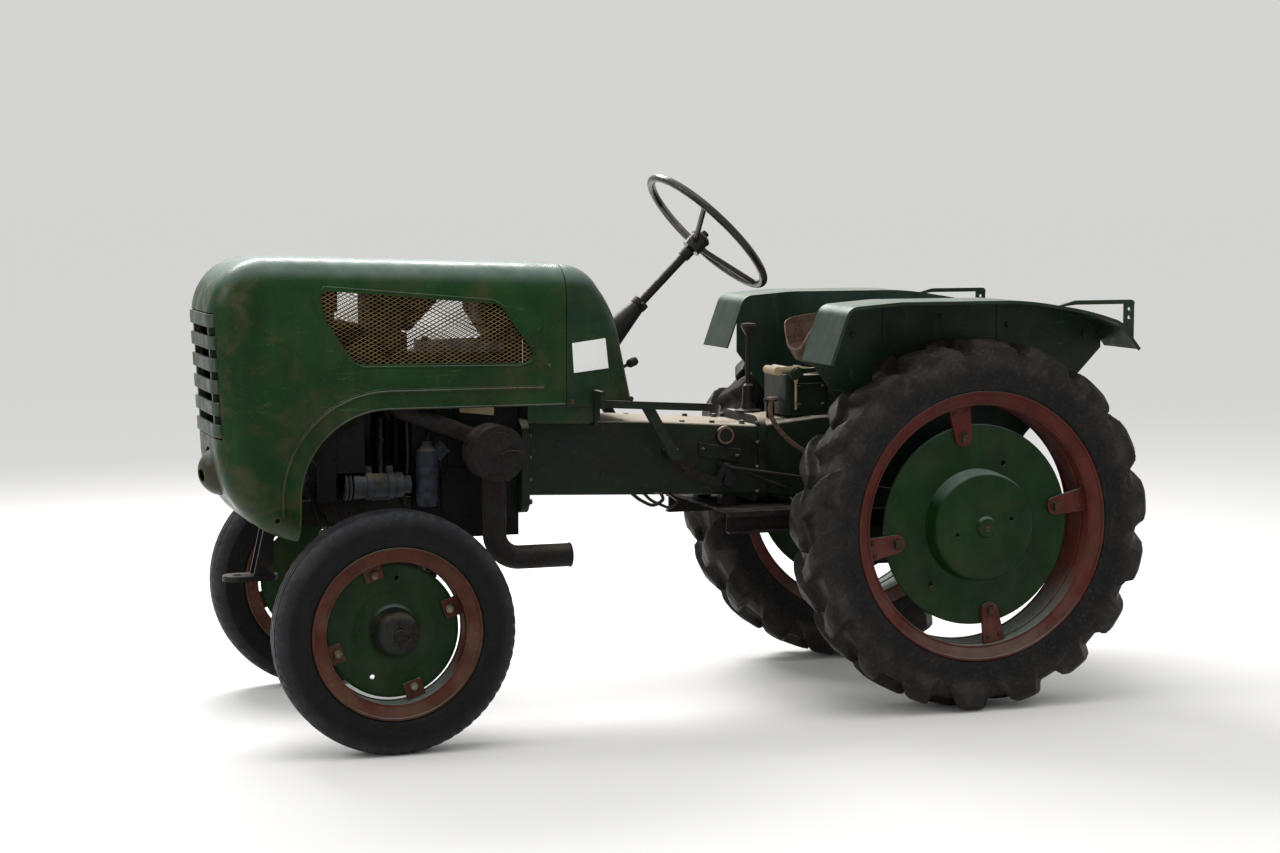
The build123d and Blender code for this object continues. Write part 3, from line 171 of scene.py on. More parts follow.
def paint(name, base, faded, rust, dust, chip, under=(92, 56, 36), gloss=0.36, scuffs=0.15, stain=0.2):
    """Old enamel: faded, scratched, stained, chipped to undercoat or rust, dusty on top, grimy below;
    up-facing faces are paler, partly chalky fading and partly a painted highlight of sun and sky.
    """
    g = Graph(name, specular=0.14)
    g.shader.inputs["Coat Weight"].default_value = 0.03
    g.shader.inputs["Coat Roughness"].default_value = 0.3
    col = g.mix(g.patches(2.2, 0.38, 0.66, 3.0), base, faded)
    col = g.mix(g.times(g.patches(11.0, 0.35, 0.75, 6.0, warp=0.6), 0.6), col, shade(base, 0.55))
    runs = g.patches(24.0, 0.53, 0.75, stretch=(1.0, 1.0, 0.10))
    col = g.mix(g.times(runs, 0.25), col, shade(faded, 1.7, 0.004))
    for stretch, rare in scratch_kinds:
        line = g.patches(80.0, rare, rare + 0.035, 3.0, stretch=stretch, warp=1.5)
        line = g.times(line, g.patches(5.0, 0.45, 0.6, 2.0))
        col = g.mix(g.times(line, scuffs), col, shade(faded, 2.2, 0.025))
    nose = g.maths("MAXIMUM", g.band(g.ahead, 0.92, 1.25), 0.5)
    brown = g.patches(8.0, 0.44, 0.70, 9.0, warp=0.5, rough=0.68)
    col = g.mix(g.times(g.times(brown, nose), stain), col, colour(62, 56, 34))
    # Up-facing faces turn pale blue-grey: partly chalky fading, partly a painted highlight that stands in for
    # sun and sky on the tops
    chalk_and_sky_sheen = g.times(g.band(g.up, 0.36, 0.95), g.band(g.noise(12.0, 6.0), 0.2, 0.6, 0.5, 0.85))
    col = g.mix(chalk_and_sky_sheen, col, colour(112, 130, 124))
    speckle = g.noise(95.0)
    edge = g.edges()
    worn = g.plus(g.band(speckle, chip, chip + 0.05), g.times(edge, g.patches(30.0, 0.42, 0.58, 4.0)))
    worn = g.times(worn, g.plus(g.patches(6.0, 0.5, 0.62, 3.0), g.times(edge, 0.8)))
    worn = g.times(worn, rust)
    col = g.mix(worn, col, g.mix(g.patches(70.0, 0.35, 0.7, 4.0), colour(*under), colour(44, 32, 27)))
    low = g.times(g.band(g.height, 0.62, 0.28), g.patches(14.0, 0.38, 0.66))
    dirt = g.times(g.maths("MAXIMUM", g.settled(0.45, 0.98, 9.0, 0.35, 0.68), low), dust)
    col = g.mix(dirt, col, colour(148, 140, 126))
    shine = g.band(g.noise(22.0), 0.3, 0.7, gloss - 0.08, gloss + 0.16)
    dents = g.bump(g.noise(5.5, 2.0), 0.45, 0.014, g.rounded(0.0025))
    fine = g.bump(g.maths("SUBTRACT", speckle, g.times(worn, 0.5)), 0.22, 0.0012, dents)
    return g.done(col, g.plus(shine, g.times(g.plus(worn, dirt), 0.4)), fine)


def steel(name, base, rusts, spread, shine, metallic, dust, pitted=0.5, specular=0.2):
    """Bare or blackened steel with rust of two tones in patches."""
    g = Graph(name, metallic=metallic, specular=specular)
    patch = g.patches(16.0, *spread, 7.0, warp=0.8)
    grain = g.noise(120.0, 6.0)
    col = g.mix(patch, colour(*base), g.mix(g.band(grain, 0.35, 0.65), *[colour(*tone) for tone in rusts]))
    dirt = g.times(g.settled(0.3, 0.95, 13.0, 0.32, 0.66), dust)
    col = g.mix(dirt, col, colour(140, 129, 112))
    cover = g.plus(patch, dirt)
    rough = g.plus(g.times(cover, 0.4), g.band(grain, 0.3, 0.7, shine - 0.08, shine + 0.1))
    rugged = g.bump(g.plus(grain, g.times(patch, 0.4)), pitted, 0.0015, g.rounded(0.0015))
    return g.done(col, rough, rugged, g.times(g.maths("SUBTRACT", 1.0, cover), metallic))


def casting_material():
    """Cast iron under old green paint, soaked with oil, with pale tan on top faces that is partly dust and
    partly a painted sunlit tone.
    """
    g = Graph("casting", specular=0.18)
    oil = g.patches(4.5, 0.40, 0.64, 6.0, warp=0.5)
    col = g.mix(oil, colour(20, 33, 20), colour(9, 11, 8))
    col = g.mix(g.times(g.patches(18.0, 0.5, 0.68, 6.0), 0.35), col, colour(33, 31, 24))
    col = g.mix(g.times(g.patches(48.0, 0.60, 0.68), 0.3), col, colour(62, 46, 34))
    # Pale tan on up-facing faces: partly dust, partly a painted highlight of sunlit tops
    dust = g.settled(0.35, 0.92, 10.0, 0.16, 0.5, 6.0)
    col = g.mix(g.times(dust, 0.9), col, colour(182, 172, 156))
    rough = g.plus(g.band(oil, 0.0, 1.0, 0.7, 0.42), g.times(dust, 0.35))
    rugged = g.bump(g.noise(24.0), 0.4, 0.004, g.rounded(0.003))
    return g.done(col, rough, g.bump(g.noise(150.0), 0.5, 0.0014, rugged))


def tyre_material(name, dusty, wall, tread, tread_radius):
    """Old rubber: a tread lighter than the walls, partly dust and partly painted light on the lit tread; fine
    cracks and moulded rings on the walls.
    """
    g = Graph(name, specular=0.12)
    disc = g.node("ShaderNodeMapping", {"Vector": g.place, "Scale": (1.0, 0.0, 1.0)}).outputs[0]
    radius = g.node("ShaderNodeVectorMath", {0: disc}, operation="LENGTH").outputs["Value"]
    # The tread band takes a lighter colour than the walls: partly dust, partly a painted highlight of the lit
    # lug tops
    lit_tread_share = g.band(radius, tread_radius - 0.03, tread_radius + 0.015)
    black = g.band(g.noise(30.0, 6.0), 0.3, 0.7, 0.55, 1.0)
    col = g.mix(black, colour(15, 15, 16), g.mix(lit_tread_share, colour(*wall), colour(*tread)))
    grey = g.patches(15.0, 0.42, 0.74, 7.0, warp=0.6, rough=0.65)
    grey = g.times(grey, g.plus(g.times(lit_tread_share, 0.5), dusty))
    col = g.mix(g.times(grey, 0.28), col, colour(96, 86, 76))
    col = g.mix(g.times(g.patches(120.0, 0.52, 0.68, 6.0), 0.3 * dusty), col, colour(112, 104, 95))
    rings = g.maths("SINE", g.maths("MULTIPLY", radius, 900.0, clamp=False), clamp=False)
    cracks = g.times(g.band(g.cells(42.0), 0.035, 0.0), g.patches(9.0, 0.48, 0.62, 3.0))
    height = g.maths("SUBTRACT", g.noise(60.0, 7.0), g.times(cracks, 0.5))
    fine = g.bump(height, 0.25, 0.0015, g.bump(rings, 0.10, 0.001))
    return g.done(col, g.band(g.noise(30.0), 0.3, 0.7, 0.40, 0.60), fine)


paints = {
    # name, fresh colour, faded colour, rust, dust, chips, then what differs from the usual enamel
    "body": ("body_green", (8, 43, 12), (19, 56, 20), 0.6, 0.06, 0.65,
             dict(gloss=0.32, scuffs=0.3, stain=1.0)),
    "cowl": ("cowl_green", (10, 37, 17), (18, 47, 25), 0.6, 0.06, 0.64,
             dict(gloss=0.34, scuffs=0.25, stain=0.8)),
    "worn": ("worn_edge", (46, 58, 42), (70, 72, 54), 0.8, 0.2, 0.55, dict(stain=0.8)),
    "slat": ("slat_green", (40, 54, 46), (58, 72, 62), 0.9, 0.1, 0.55, dict(under=(140, 116, 56))),
    "fender": ("fender_green", (20, 36, 26), (34, 54, 45), 0.6, 0.4, 0.62, dict(scuffs=0.4, stain=0.4)),
    "disc": ("disc_green", (7, 37, 7), (12, 44, 11), 0.4, 0.02, 0.68,
             dict(gloss=0.46, scuffs=0.06, stain=0.4)),
    "rim": ("rim_red", (74, 25, 21), (82, 34, 28), 0.8, 0.08, 0.58, dict(gloss=0.5, stain=0.6)),
    "rim_front": ("rim_rust", (66, 29, 20), (74, 38, 26), 1.0, 0.06, 0.5, dict(gloss=0.55, stain=1.0)),
    "dome": ("dome_paint", (42, 46, 36), (62, 62, 46), 1.0, 0.15, 0.47,
             dict(under=(132, 108, 38), stain=1.0)),
}
steels = {
    # name, bare colour, two rusts, their spread, roughness, metallic, dust, pits and specular if unusual
    "black": ("worn_black", (22, 21, 21), [(56, 42, 34), (38, 31, 27)], (0.54, 0.7), 0.42, 0.2, 0.3),
    "rusty": ("rusty_steel", (50, 42, 36), [(80, 54, 39), (50, 37, 30)], (0.36, 0.56), 0.55, 0.4, 0.35),
    "soot": ("sooty_pipe", (19, 17, 17), [(36, 27, 24), (26, 21, 20)], (0.42, 0.64), 0.6, 0.1, 0.22, 0.8),
    "mesh": ("rusty_mesh", (112, 95, 58), [(98, 76, 46), (62, 50, 36)], (0.42, 0.66), 0.5, 0.2, 0.2),
    # Near-black look for the engine bay's pieces: partly oily grime, partly painted shade of the bay
    "shaded_grime": ("oily_grime_painted_shade", (9, 9, 9), [(22, 19, 16), (15, 13, 12)], (0.5, 0.7), 0.55, 0.0, 0.2, 0.5, 0.12),
    "grey": ("dirty_grey", (46, 51, 55), [(50, 42, 36), (36, 33, 30)], (0.46, 0.66), 0.5, 0.3, 0.3),
    "bright": ("bright_bolt", (120, 112, 98), [(92, 70, 52), (70, 56, 46)], (0.45, 0.7), 0.4, 0.5, 0.3),
    "hub": ("greasy_hub", (21, 27, 20), [(36, 30, 25), (15, 14, 13)], (0.4, 0.58), 0.46, 0.0, 0.2, 0.9),
    "wheel": ("worn_grip", (17, 16, 16), [(46, 35, 29), (30, 26, 24)], (0.58, 0.72),
              0.26, 0.0, 0.15, 0.3, 0.4),
    "grease": ("black_grease", (10, 10, 10), [(22, 19, 17), (14, 13, 12)], (0.5, 0.7), 0.36, 0.0, 0.1),
    "alloy": ("dull_alloy", (80, 86, 92), [(60, 56, 50), (48, 46, 44)], (0.48, 0.66), 0.45, 0.4, 0.3),
    "blue": ("blue_can", (30, 37, 46), [(34, 34, 36), (28, 29, 32)], (0.5, 0.7), 0.5, 0.0, 0.2, 0.3),
    "seat": ("bare_seat", (86, 72, 62), [(96, 70, 54), (60, 46, 38)], (0.4, 0.62), 0.5, 0.2, 0.4),
    "card": ("blank_label", (225, 226, 224), [(214, 213, 208), (200, 198, 192)], (0.6, 0.8),
             0.6, 0.0, 0.0, 0.02),
    "plate": ("tan_plate", (150, 134, 104), [(108, 86, 60), (76, 64, 50)], (0.5, 0.7), 0.55, 0.1, 0.3),
}
looks = {"casting": casting_material()}
for look, (name, fresh, faded, *amounts, special) in paints.items():
    looks[look] = paint(name, colour(*fresh), colour(*faded), *amounts, **special)
for look, facts in steels.items():
    looks[look] = steel(*facts)
# Tread colours are lighter than wall colours: partly dust, partly painted light of the lit tread
looks["tyre_rear"] = tyre_material("rear_rubber", 0.25, (17, 17, 18), (33, 31, 30), 0.445)
looks["tyre_front"] = tyre_material("front_rubber", 0.10, (11, 11, 12), (40, 42, 46), 0.298)

dressed_nodes = {
    "body": ["hood"],
    "slat": ["grille"],
    "mesh": ["hood_mesh"],
    "dome": ["nose_dome"],
    "cowl": ["cowl"],
    "casting": ["gearbox", "axle_housing_left", "axle_housing_right", "front_frame", "axle_beam",
                "lift_housing", "pedals", "steering_gear", "knuckle_left", "knuckle_right"],
    # Engine, fan drive and radiator are near-black: partly oily grime, partly painted shade of the engine bay
    "shaded_grime": ["engine", "fan_drive", "radiator"],
    "black": ["tow_jaw", "seat_spring", "shift_levers", "brake_rods", "steering_column",
              "drop_arm", "tie_rod"],
    "grey": ["dynamo"],
    "soot": ["exhaust", "tool_frame", "drawbar"],
    "fender": ["fender_left", "fender_right", "grab_handles"],
    "seat": ["seat_pan"],
    "rusty": ["pto_shaft"],
    "wheel": ["steering_wheel"],
    "tyre_rear": ["rear_tyre_left", "rear_tyre_right"],
    "tyre_front": ["front_tyre_left", "front_tyre_right"],
    "rim": ["rear_rim_left", "rear_rim_right"],
    "rim_front": ["front_rim_left", "front_rim_right"],
    "disc": ["rear_disc_left", "rear_disc_right", "front_disc_left", "front_disc_right"],
}
for look, names in dressed_nodes.items():
    for name in names:
        nodes[name].data.materials.clear()
        nodes[name].data.materials.append(looks[look])


class Form:
    """Mesh put together from plain shapes in millimetres ahead of the rear axle, and finished in metres."""

    def __init__(self):
        self.bm = bmesh.new()

    def ring(self, centre, across, up, radius, count, ripple=None):
        corners = []
        for k in range(count):
            angle = tau * (k + 0.5) / count
            reach = radius + (ripple(angle) if ripple else 0.0)
            corners.append(self.bm.verts.new(centre + reach * (cos(angle) * across + sin(angle) * up)))
        return corners

    def bridge(self, first, second):
        """Faces between two rings, either of which may be a single point."""
        if len(first) == 1 and len(second) == 1:
            return
        for k in range(max(len(first), len(second))):
            if len(first) == 1:
                self.bm.faces.new((first[0], second[k], second[k - 1]))
            elif len(second) == 1:
                self.bm.faces.new((first[k - 1], first[k], second[0]))
            else:
                self.bm.faces.new((first[k - 1], first[k], second[k], second[k - 1]))

    def bridge_all(self, rings):
        for first, second in zip(rings, rings[1:]):
            self.bridge(first, second)

    def turned(self, foot, along, outline, count=32, closed=False):
        """Turned form; its outline is (distance along the axis, radius), some with a ripple."""
        along = along.normalized()
        across = upwards if abs(along.z) < 0.9 else forwards
        across = (across - along * across.dot(along)).normalized()
        up = along.cross(across)
        rings = []
        for s, r, *ripple in outline:
            at = Vector(foot) + along * s
            rings.append(self.ring(at, across, up, r, count, *ripple) if r else [self.bm.verts.new(at)])
        self.bridge_all(rings)
        if closed:
            self.bridge(rings[-1], rings[0])

    def rod(self, start, end, radius, count=14):
        along = Vector(end) - Vector(start)
        soft = min(radius * 0.25, 1.5)
        self.turned(start, along, [
            (0, 0), (0, radius - soft), (soft, radius),
            (along.length - soft, radius), (along.length, radius - soft), (along.length, 0),
        ], count)

    def torus(self, centre, along, radius, thick, count=48, section=8):
        turns = [tau * k / section for k in range(section)]
        outline = [(thick * cos(turn), radius + thick * sin(turn)) for turn in turns]
        self.turned(centre, along, outline, count, closed=True)

    def pipe(self, route, radius, bend=25.0, count=12):
        """Round tube along a route whose corners are rounded off."""
        route = [Vector(p) for p in route]
        points = [route[0]]
        for before, corner, after in zip(route, route[1:], route[2:]):
            into, out = corner - before, after - corner
            cut = min(bend, 0.45 * into.length, 0.45 * out.length)
            first, last = corner - into.normalized() * cut, corner + out.normalized() * cut
            for k in range(6):
                t = k / 5
                points.append(first * (1 - t) ** 2 + corner * 2 * t * (1 - t) + last * t ** 2)
        points.append(route[-1])
        across = (points[1] - points[0]).orthogonal().normalized()
        rings = [[self.bm.verts.new(points[0])]]
        for n, point in enumerate(points):
            along = (points[min(n + 1, len(points) - 1)] - points[max(n - 1, 0)]).normalized()
            across = (across - along * across.dot(along)).normalized()
            rings.append(self.ring(point, across, along.cross(across), radius, count))
        rings.append([self.bm.verts.new(points[-1])])
        self.bridge_all(rings)

    def plate(self, outline, y_low, y_high):
        """Side-view outline of (ahead, height) points, extruded across the tractor."""
        near = [self.bm.verts.new((x, y_low, z)) for x, z in outline]
        far = [self.bm.verts.new((x, y_high, z)) for x, z in outline]
        self.bm.faces.new(near)
        self.bm.faces.new(far)
        self.bridge(near, far)

    def box(self, low, high):
        (x0, y0, z0), (x1, y1, z1) = low, high
        self.plate([(x0, z0), (x1, z0), (x1, z1), (x0, z1)], y0, y1)

    def bolt(self, seat, along, size=8.0, corners=6):
        """Bolt head on a washer; size is half the head's width."""
        washer = [(-1, 0), (-1, 1.3 * size), (1.5, 1.3 * size), (2.0, 1.2 * size), (2.0, 0)]
        self.turned(seat, along, washer, 20)
        rise = 1.25 * size
        head = [(0, 0), (0, 1.1 * size), (rise - 1.2, 1.1 * size), (rise, 0.85 * size), (rise, 0)]
        self.turned(seat, along, head, corners)

    def bolts(self, y, places, size=8.0):
        """Bolts that point left, at (ahead, height) places."""
        for x, z in places:
            self.bolt((x, y, z), leftwards, size)

    def both_sides(self):
        """Add the mirror image."""
        whole = self.bm.verts[:] + self.bm.edges[:] + self.bm.faces[:]
        for copied in bmesh.ops.duplicate(self.bm, geom=whole)["geom"]:
            if isinstance(copied, bmesh.types.BMVert):
                copied.co.y = -copied.co.y

    def done(self, name, look, slot, body="chassis", origin=None, sharp=38.0, replaced=None, soft=0.0,
             flip=False):
        """Finish the form as an object that rides on a body and takes its look's material; the slot is not
        used.
        """
        centre = in_metres(origin) if origin else Vector((0, 0, 0))
        for v in self.bm.verts:
            v.co.y = -v.co.y if flip else v.co.y
            v.co = in_metres(v.co) - centre
        bmesh.ops.recalc_face_normals(self.bm, faces=self.bm.faces[:])
        mesh = bpy.data.meshes.new(name)
        self.bm.to_mesh(mesh)
        self.bm.free()
        mesh.materials.append(looks[look])
        mesh.shade_smooth()
        mesh.set_sharp_from_angle(angle=radians(sharp))
        made = bpy.data.objects.new(name, mesh)
        scene.collection.objects.link(made)
        made.location = centre
        if soft:
            rounding = made.modifiers.new("soft_edges", "BEVEL")
            rounding.width = soft / 1000
            rounding.segments = 2
            rounding.angle_limit = radians(40)
        if replaced:
            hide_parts(replaced)
        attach(made, body)


def skin(node):
    """Search tree of a CAD node's mesh, in metres."""
    data = nodes[node].data
    return BVHTree.FromPolygons([v.co for v in data.vertices], [tuple(p.vertices) for p in data.polygons])


def skin_y(tree, x, z):
    """Y in millimetres where a look from the left at this place meets the skin, or None."""
    hit = tree.ray_cast(in_metres((x, 900.0, z)), -leftwards)[0]
    return hit.y * 1000 if hit else None


def over_skin(tree, x, z, out):
    """Place that stands out from the skin of the tractor's left side."""
    return Vector((x, (skin_y(tree, x, z) or body_side_y) + out, z))


def evaluated(made):
    """Mesh of an object with its modifiers applied, after which the object goes."""
    baked = bpy.data.meshes.new_from_object(made.evaluated_get(bpy.context.evaluated_depsgraph_get()))
    bpy.data.objects.remove(made)
    return baked


def wheel_middle(hub, sign):
    """Middle of the left wheel or, with sign -1, of the right one."""
    return Vector((hub.x, sign * hub.y, hub.z))


# Rear tyres: the CAD tyre with its lugs worn round
wear_voxel, wear_passes = 0.0054, 2
rough = bpy.data.objects.new("rough_tyre", nodes["rear_tyre_left"].data.copy())
scene.collection.objects.link(rough)
remesh = rough.modifiers.new("voxels", "REMESH")
remesh.mode = "VOXEL"
remesh.voxel_size = wear_voxel
smooth = rough.modifiers.new("worn", "SMOOTH")
smooth.factor = 0.5
smooth.iterations = wear_passes
worn_tyre = evaluated(rough)
for side, sign in sides:
    form = Form()
    form.bm.from_mesh(worn_tyre)
    for v in form.bm.verts:
        v.co = in_millimetres(v.co)
    form.done(f"rear_tyre_rubber_{side}", "tyre_rear", "tyre", f"rear_wheel_{side}",
              wheel_middle(rear_hub, sign), 80.0, f"rear_tyre_{side}", flip=sign < 0)

# Front tyres: ribbed tread with nicks cut in the shoulders
front_tread = [
    # outwards from the middle, radius
    (0.0, 315.0), (7.0, 315.0), (8.5, 308.0), (13.0, 308.0), (14.5, 315.0), (23.0, 314.5), (24.5, 307.5),
    (29.0, 307.0), (30.5, 313.6), (38.0, 312.5), (43.0, 310.0), (48.0, 304.5), (52.0, 297.0), (55.5, 288.0),
    (56.6, 284.0), (57.8, 282.0), (57.8, 279.0), (57.0, 276.0), (57.5, 266.0), (56.5, 252.0), (54.5, 240.0),
    (54.6, 236.0), (53.4, 233.0), (50.5, 227.0), (46.0, 223.5), (42.4, 222.5), (30.4, 192.5),
]
shoulder_in, shoulder_out, shoulder_low = 36.0, 50.0, 300.0
nick_count, nick_share, nick_depth = 64, 0.3, 6.0


def nick(angle):
    """Step of the tread at an angle round the tyre."""
    return -nick_depth if (angle * nick_count / tau) % 1.0 < nick_share else 0.0


half_tread = []
for u, r in front_tread:
    nicked = shoulder_in < u < shoulder_out and r > shoulder_low
    half_tread.append((u, r, nick if nicked else None))
whole_tread = half_tread + [(-u, r, ripple) for u, r, ripple in reversed(half_tread[1:])]
for side, sign in sides:
    form = Form()
    form.turned(front_hub, leftwards, whole_tread, 256, closed=True)
    form.done(f"front_tyre_rubber_{side}", "tyre_front", "tyre", f"front_wheel_{side}",
              wheel_middle(front_hub, sign), 50.0, f"front_tyre_{side}", flip=sign < 0)

# Wheel discs: pressed plate with a rolled edge, drum or hub cap, and holes as in the left wheel
rear_disc = [
    # outwards from the wheel's middle, radius
    (-88.0, 0.0), (-88.0, 60.0), (21.0, 64.0), (29.0, 90.0), (29.0, 278.0), (31.0, 280.0), (34.5, 280.0),
    (37.0, 277.0), (36.4, 270.0), (35.0, 266.0), (35.0, 160.0), (36.5, 156.0), (41.0, 153.5), (86.0, 151.0),
    (93.0, 148.5), (97.0, 143.0), (98.0, 136.0), (98.0, 66.0), (96.6, 62.0), (96.6, 34.0), (98.0, 30.0),
    (105.0, 28.0), (108.5, 25.0), (109.0, 10.0), (106.0, 7.0), (106.0, 0.0),
]
front_disc = [
    (18.0, 0.0), (18.0, 14.3), (-55.0, 14.3), (-55.0, 46.0), (-20.0, 60.0), (-20.0, 172.0), (-18.0, 174.0),
    (-15.0, 173.5), (-13.4, 170.0), (-14.0, 162.0), (-14.0, 112.0), (-12.0, 109.0), (-12.0, 106.0),
    (-13.6, 103.0), (-13.0, 80.0), (-10.0, 70.0), (-2.0, 62.0), (6.0, 59.0), (52.0, 53.0), (60.0, 49.0),
    (65.0, 40.0), (66.0, 30.0), (66.0, 0.0),
]
# Holes are (ahead, height, radius) from the wheel's middle
rear_drum_holes = [(-78.0, 19.0, 6.0), (85.0, -19.0, 6.0)]
rear_plate_holes = [(-83.0, 168.0, 8.0), (135.0, -160.0, 9.0)]
front_plate_holes = [(-11.0, 136.0, 6.0), (55.0, -118.0, 6.5)]


def drilled(form, hub, holes, low, high):
    """Cut round holes through a form on a wheel, between two distances from the wheel's middle."""
    drill = Form()
    deep = high - low
    for x, z, r in holes:
        drill.turned(hub + Vector((x, low, z)), leftwards, [(0, 0), (0, r), (deep, r), (deep, 0)], 20)
    made = []
    for name, shape in (("blank", form), ("drill", drill)):
        bmesh.ops.recalc_face_normals(shape.bm, faces=shape.bm.faces[:])
        mesh = bpy.data.meshes.new(name)
        shape.bm.to_mesh(mesh)
        made.append(bpy.data.objects.new(name, mesh))
        scene.collection.objects.link(made[-1])
    blank, tool = made
    cut = blank.modifiers.new("holes", "BOOLEAN")
    cut.operation = "DIFFERENCE"
    cut.solver = "EXACT"
    cut.object = tool
    form.bm.clear()
    form.bm.from_mesh(evaluated(blank))
    bpy.data.objects.remove(tool)


for kind, hub, outline, drillings in (
    ("rear", rear_hub, rear_disc, [(rear_drum_holes, 60.0, 140.0), (rear_plate_holes, 0.0, 60.0)]),
    ("front", front_hub, front_disc, [(front_plate_holes, -60.0, 5.0)]),
):
    for side, sign in sides:
        form = Form()
        form.turned(hub, leftwards, outline, 128)
        for holes, low, high in drillings:
            drilled(form, hub, holes, low, high)
        form.done(f"{kind}_disc_plate_{side}", "disc", "body_paint", f"{kind}_wheel_{side}",
                  replaced=f"{kind}_disc_{side}", flip=sign < 0)


def on_wheel(hub, radius, degrees, y):
    """Place on a wheel, its angle turned backwards from the top as seen from the left."""
    angle = radians(degrees)
    return Vector((hub.x - radius * sin(angle), y, hub.z + radius * cos(angle)))


# Rolled rim edges, bolts and caps of all four wheels
rear_rim_edges = [
    # outwards from the wheel's middle, radius, thickness
    (85.0, 371.5, 4.5), (-85.0, 371.5, 4.5), (66.0, 338.0, 3.5), (-66.0, 338.0, 3.5), (20.0, 337.0, 3.0),
]
front_rim_edges = [(48.0, 219.5, 4.0), (-48.0, 219.5, 4.0), (34.0, 186.0, 3.0), (-34.0, 186.0, 3.0)]
rear_lug_y, rear_lug_turn, rear_bolt_radius = 475.3, -10.0, 247.0
front_lug_y, front_lug_turn, front_bolt_radius = 482.3, -19.0, 155.0
rivet_radius, rivet_swing = 318.0, 3.2
rear_hub_end = 106.0
rivet = [(-1, 0), (-1, 7), (3, 6), (5, 3), (5.6, 0)]
nipple = [(-3, 0), (-3, 9), (2, 8), (4, 5), (4.6, 0)]
hub_cap = [
    (0.0, 63.5), (4.0, 62.5), (6.0, 60.5), (16.0, 59.3), (30.0, 57.5), (52.0, 54.6), (60.5, 50.5),
    (66.0, 41.0), (67.5, 30.0), (67.5, 15.0), (72.0, 14.0), (72.0, 0.0),
]
for side, sign in sides:
    edge, bolts, cap = Form(), Form(), Form()
    for u, radius, thick in rear_rim_edges:
        edge.torus(rear_hub + leftwards * u, leftwards, radius, thick, 96)
    for quarter in range(4):
        turn = rear_lug_turn - 90.0 * quarter
        bolts.bolt(on_wheel(rear_hub, rear_bolt_radius, turn, rear_lug_y), leftwards, 13.0, 4)
        for swing in (-rivet_swing, rivet_swing):
            bolts.turned(on_wheel(rear_hub, rivet_radius, turn + swing, rear_lug_y), leftwards, rivet, 14)
    cap.turned(rear_hub + leftwards * rear_hub_end, leftwards, nipple, 16)
    wheel = f"rear_wheel_{side}"
    edge.done(f"rear_rim_edge_{side}", "rim", "rim_paint", wheel, flip=sign < 0)
    bolts.done(f"rear_rim_bolts_{side}", "rusty", "rusty_steel", wheel, flip=sign < 0)
    cap.done(f"rear_hub_nipple_{side}", "rusty", "rusty_steel", wheel, flip=sign < 0)

    edge, bolts, cap = Form(), Form(), Form()
    for u, radius, thick in front_rim_edges:
        edge.torus(front_hub + leftwards * u, leftwards, radius, thick, 96)
    for quarter in range(4):
        turn = front_lug_turn - 90.0 * quarter
        bolts.bolt(on_wheel(front_hub, front_bolt_radius, turn, front_lug_y), leftwards)
    cap.turned(front_hub, leftwards, hub_cap, 48)
    wheel = f"front_wheel_{side}"
    edge.done(f"front_rim_edge_{side}", "rim_front", "rim_paint", wheel, flip=sign < 0)
    bolts.done(f"front_rim_bolts_{side}", "bright", "rusty_steel", wheel, flip=sign < 0)
    cap.done(f"front_hub_cap_{side}", "hub", "dark_steel", wheel, flip=sign < 0)

# Window mesh: zigzag strands that touch at their bends, laid on the inside of the hood's skin
diamond_wide, diamond_high = 21.0, 11.0
strand_half_wide, strand_half_thick = 1.2, 0.7
strand_inset, strand_weave, strand_lean = 0.8, 0.5, 0.3
mesh_back_x, mesh_front_x = 1185.0, 1805.0
mesh_low_z, mesh_high_z = 966.0, 1192.0
strand_section = [
    (strand_half_thick, 0), (0, strand_half_wide), (-strand_half_thick, 0), (0, -strand_half_wide),
]
mesh_skin = skin("hood_mesh")
form = Form()
for row in range(int(2 * (mesh_high_z - mesh_low_z) / diamond_high)):
    before = None
    for column in range(int(2 * (mesh_front_x - mesh_back_x) / diamond_wide)):
        x = mesh_back_x + column * diamond_wide / 2
        wave = 1 if (row + column) % 2 else -1
        z = mesh_low_z + row * diamond_high / 2 + wave * diamond_high / 4
        y = skin_y(mesh_skin, x, z)
        if y is None or y < 0:
            before = None
            continue
        y -= strand_inset + strand_weave * wave
        corners = [form.bm.verts.new((x + strand_lean * dz, y + dy, z + dz)) for dy, dz in strand_section]
        if before:
            form.bridge(before, corners)
        before = corners
form.both_sides()
form.done("window_lattice", "mesh", "mesh", "hood", sharp=60.0, replaced="hood_mesh")

# Shallow pressed lip round each window
window_corners = [(1790.0, 1180.0), (1296.0, 1136.0), (1200.0, 1002.0), (1222.0, 978.0), (1690.0, 984.0),
                  (1768.0, 1098.0)]
lip_reach, lip_thick, lip_flatness, lip_sink = 9.0, 1.7, 2.2, 0.4
lip_step, corner_cut = 20.0, 18.0
window_middle = sum((Vector(c) for c in window_corners), Vector((0, 0))) / len(window_corners)
hood_skin = skin("hood")
route = []
for a, b in zip(window_corners, window_corners[1:] + window_corners[:1]):
    a, b = Vector(a), Vector(b)
    outward = Vector((b.y - a.y, a.x - b.x)).normalized()
    if outward.dot(a - window_middle) < 0:
        outward.negate()
    length = (b - a).length
    steps = max(2, int(length / lip_step))
    inset = corner_cut / length if length > 60.0 else 0.3
    for k in range(steps + 1):
        x, z = a.lerp(b, inset + (1 - 2 * inset) * k / steps) + outward * lip_reach
        route.append(over_skin(hood_skin, x, z, -lip_sink))
form = Form()
rings = []
for n, point in enumerate(route):
    along = (route[(n + 1) % len(route)] - route[n - 1]).normalized()
    across = along.cross(leftwards).normalized()
    rings.append(form.ring(point, across * lip_flatness, along.cross(across), lip_thick, 8))
form.bridge_all(rings + rings[:1])
form.both_sides()
form.done("window_lips", "body", "body_paint", "hood", sharp=80.0)

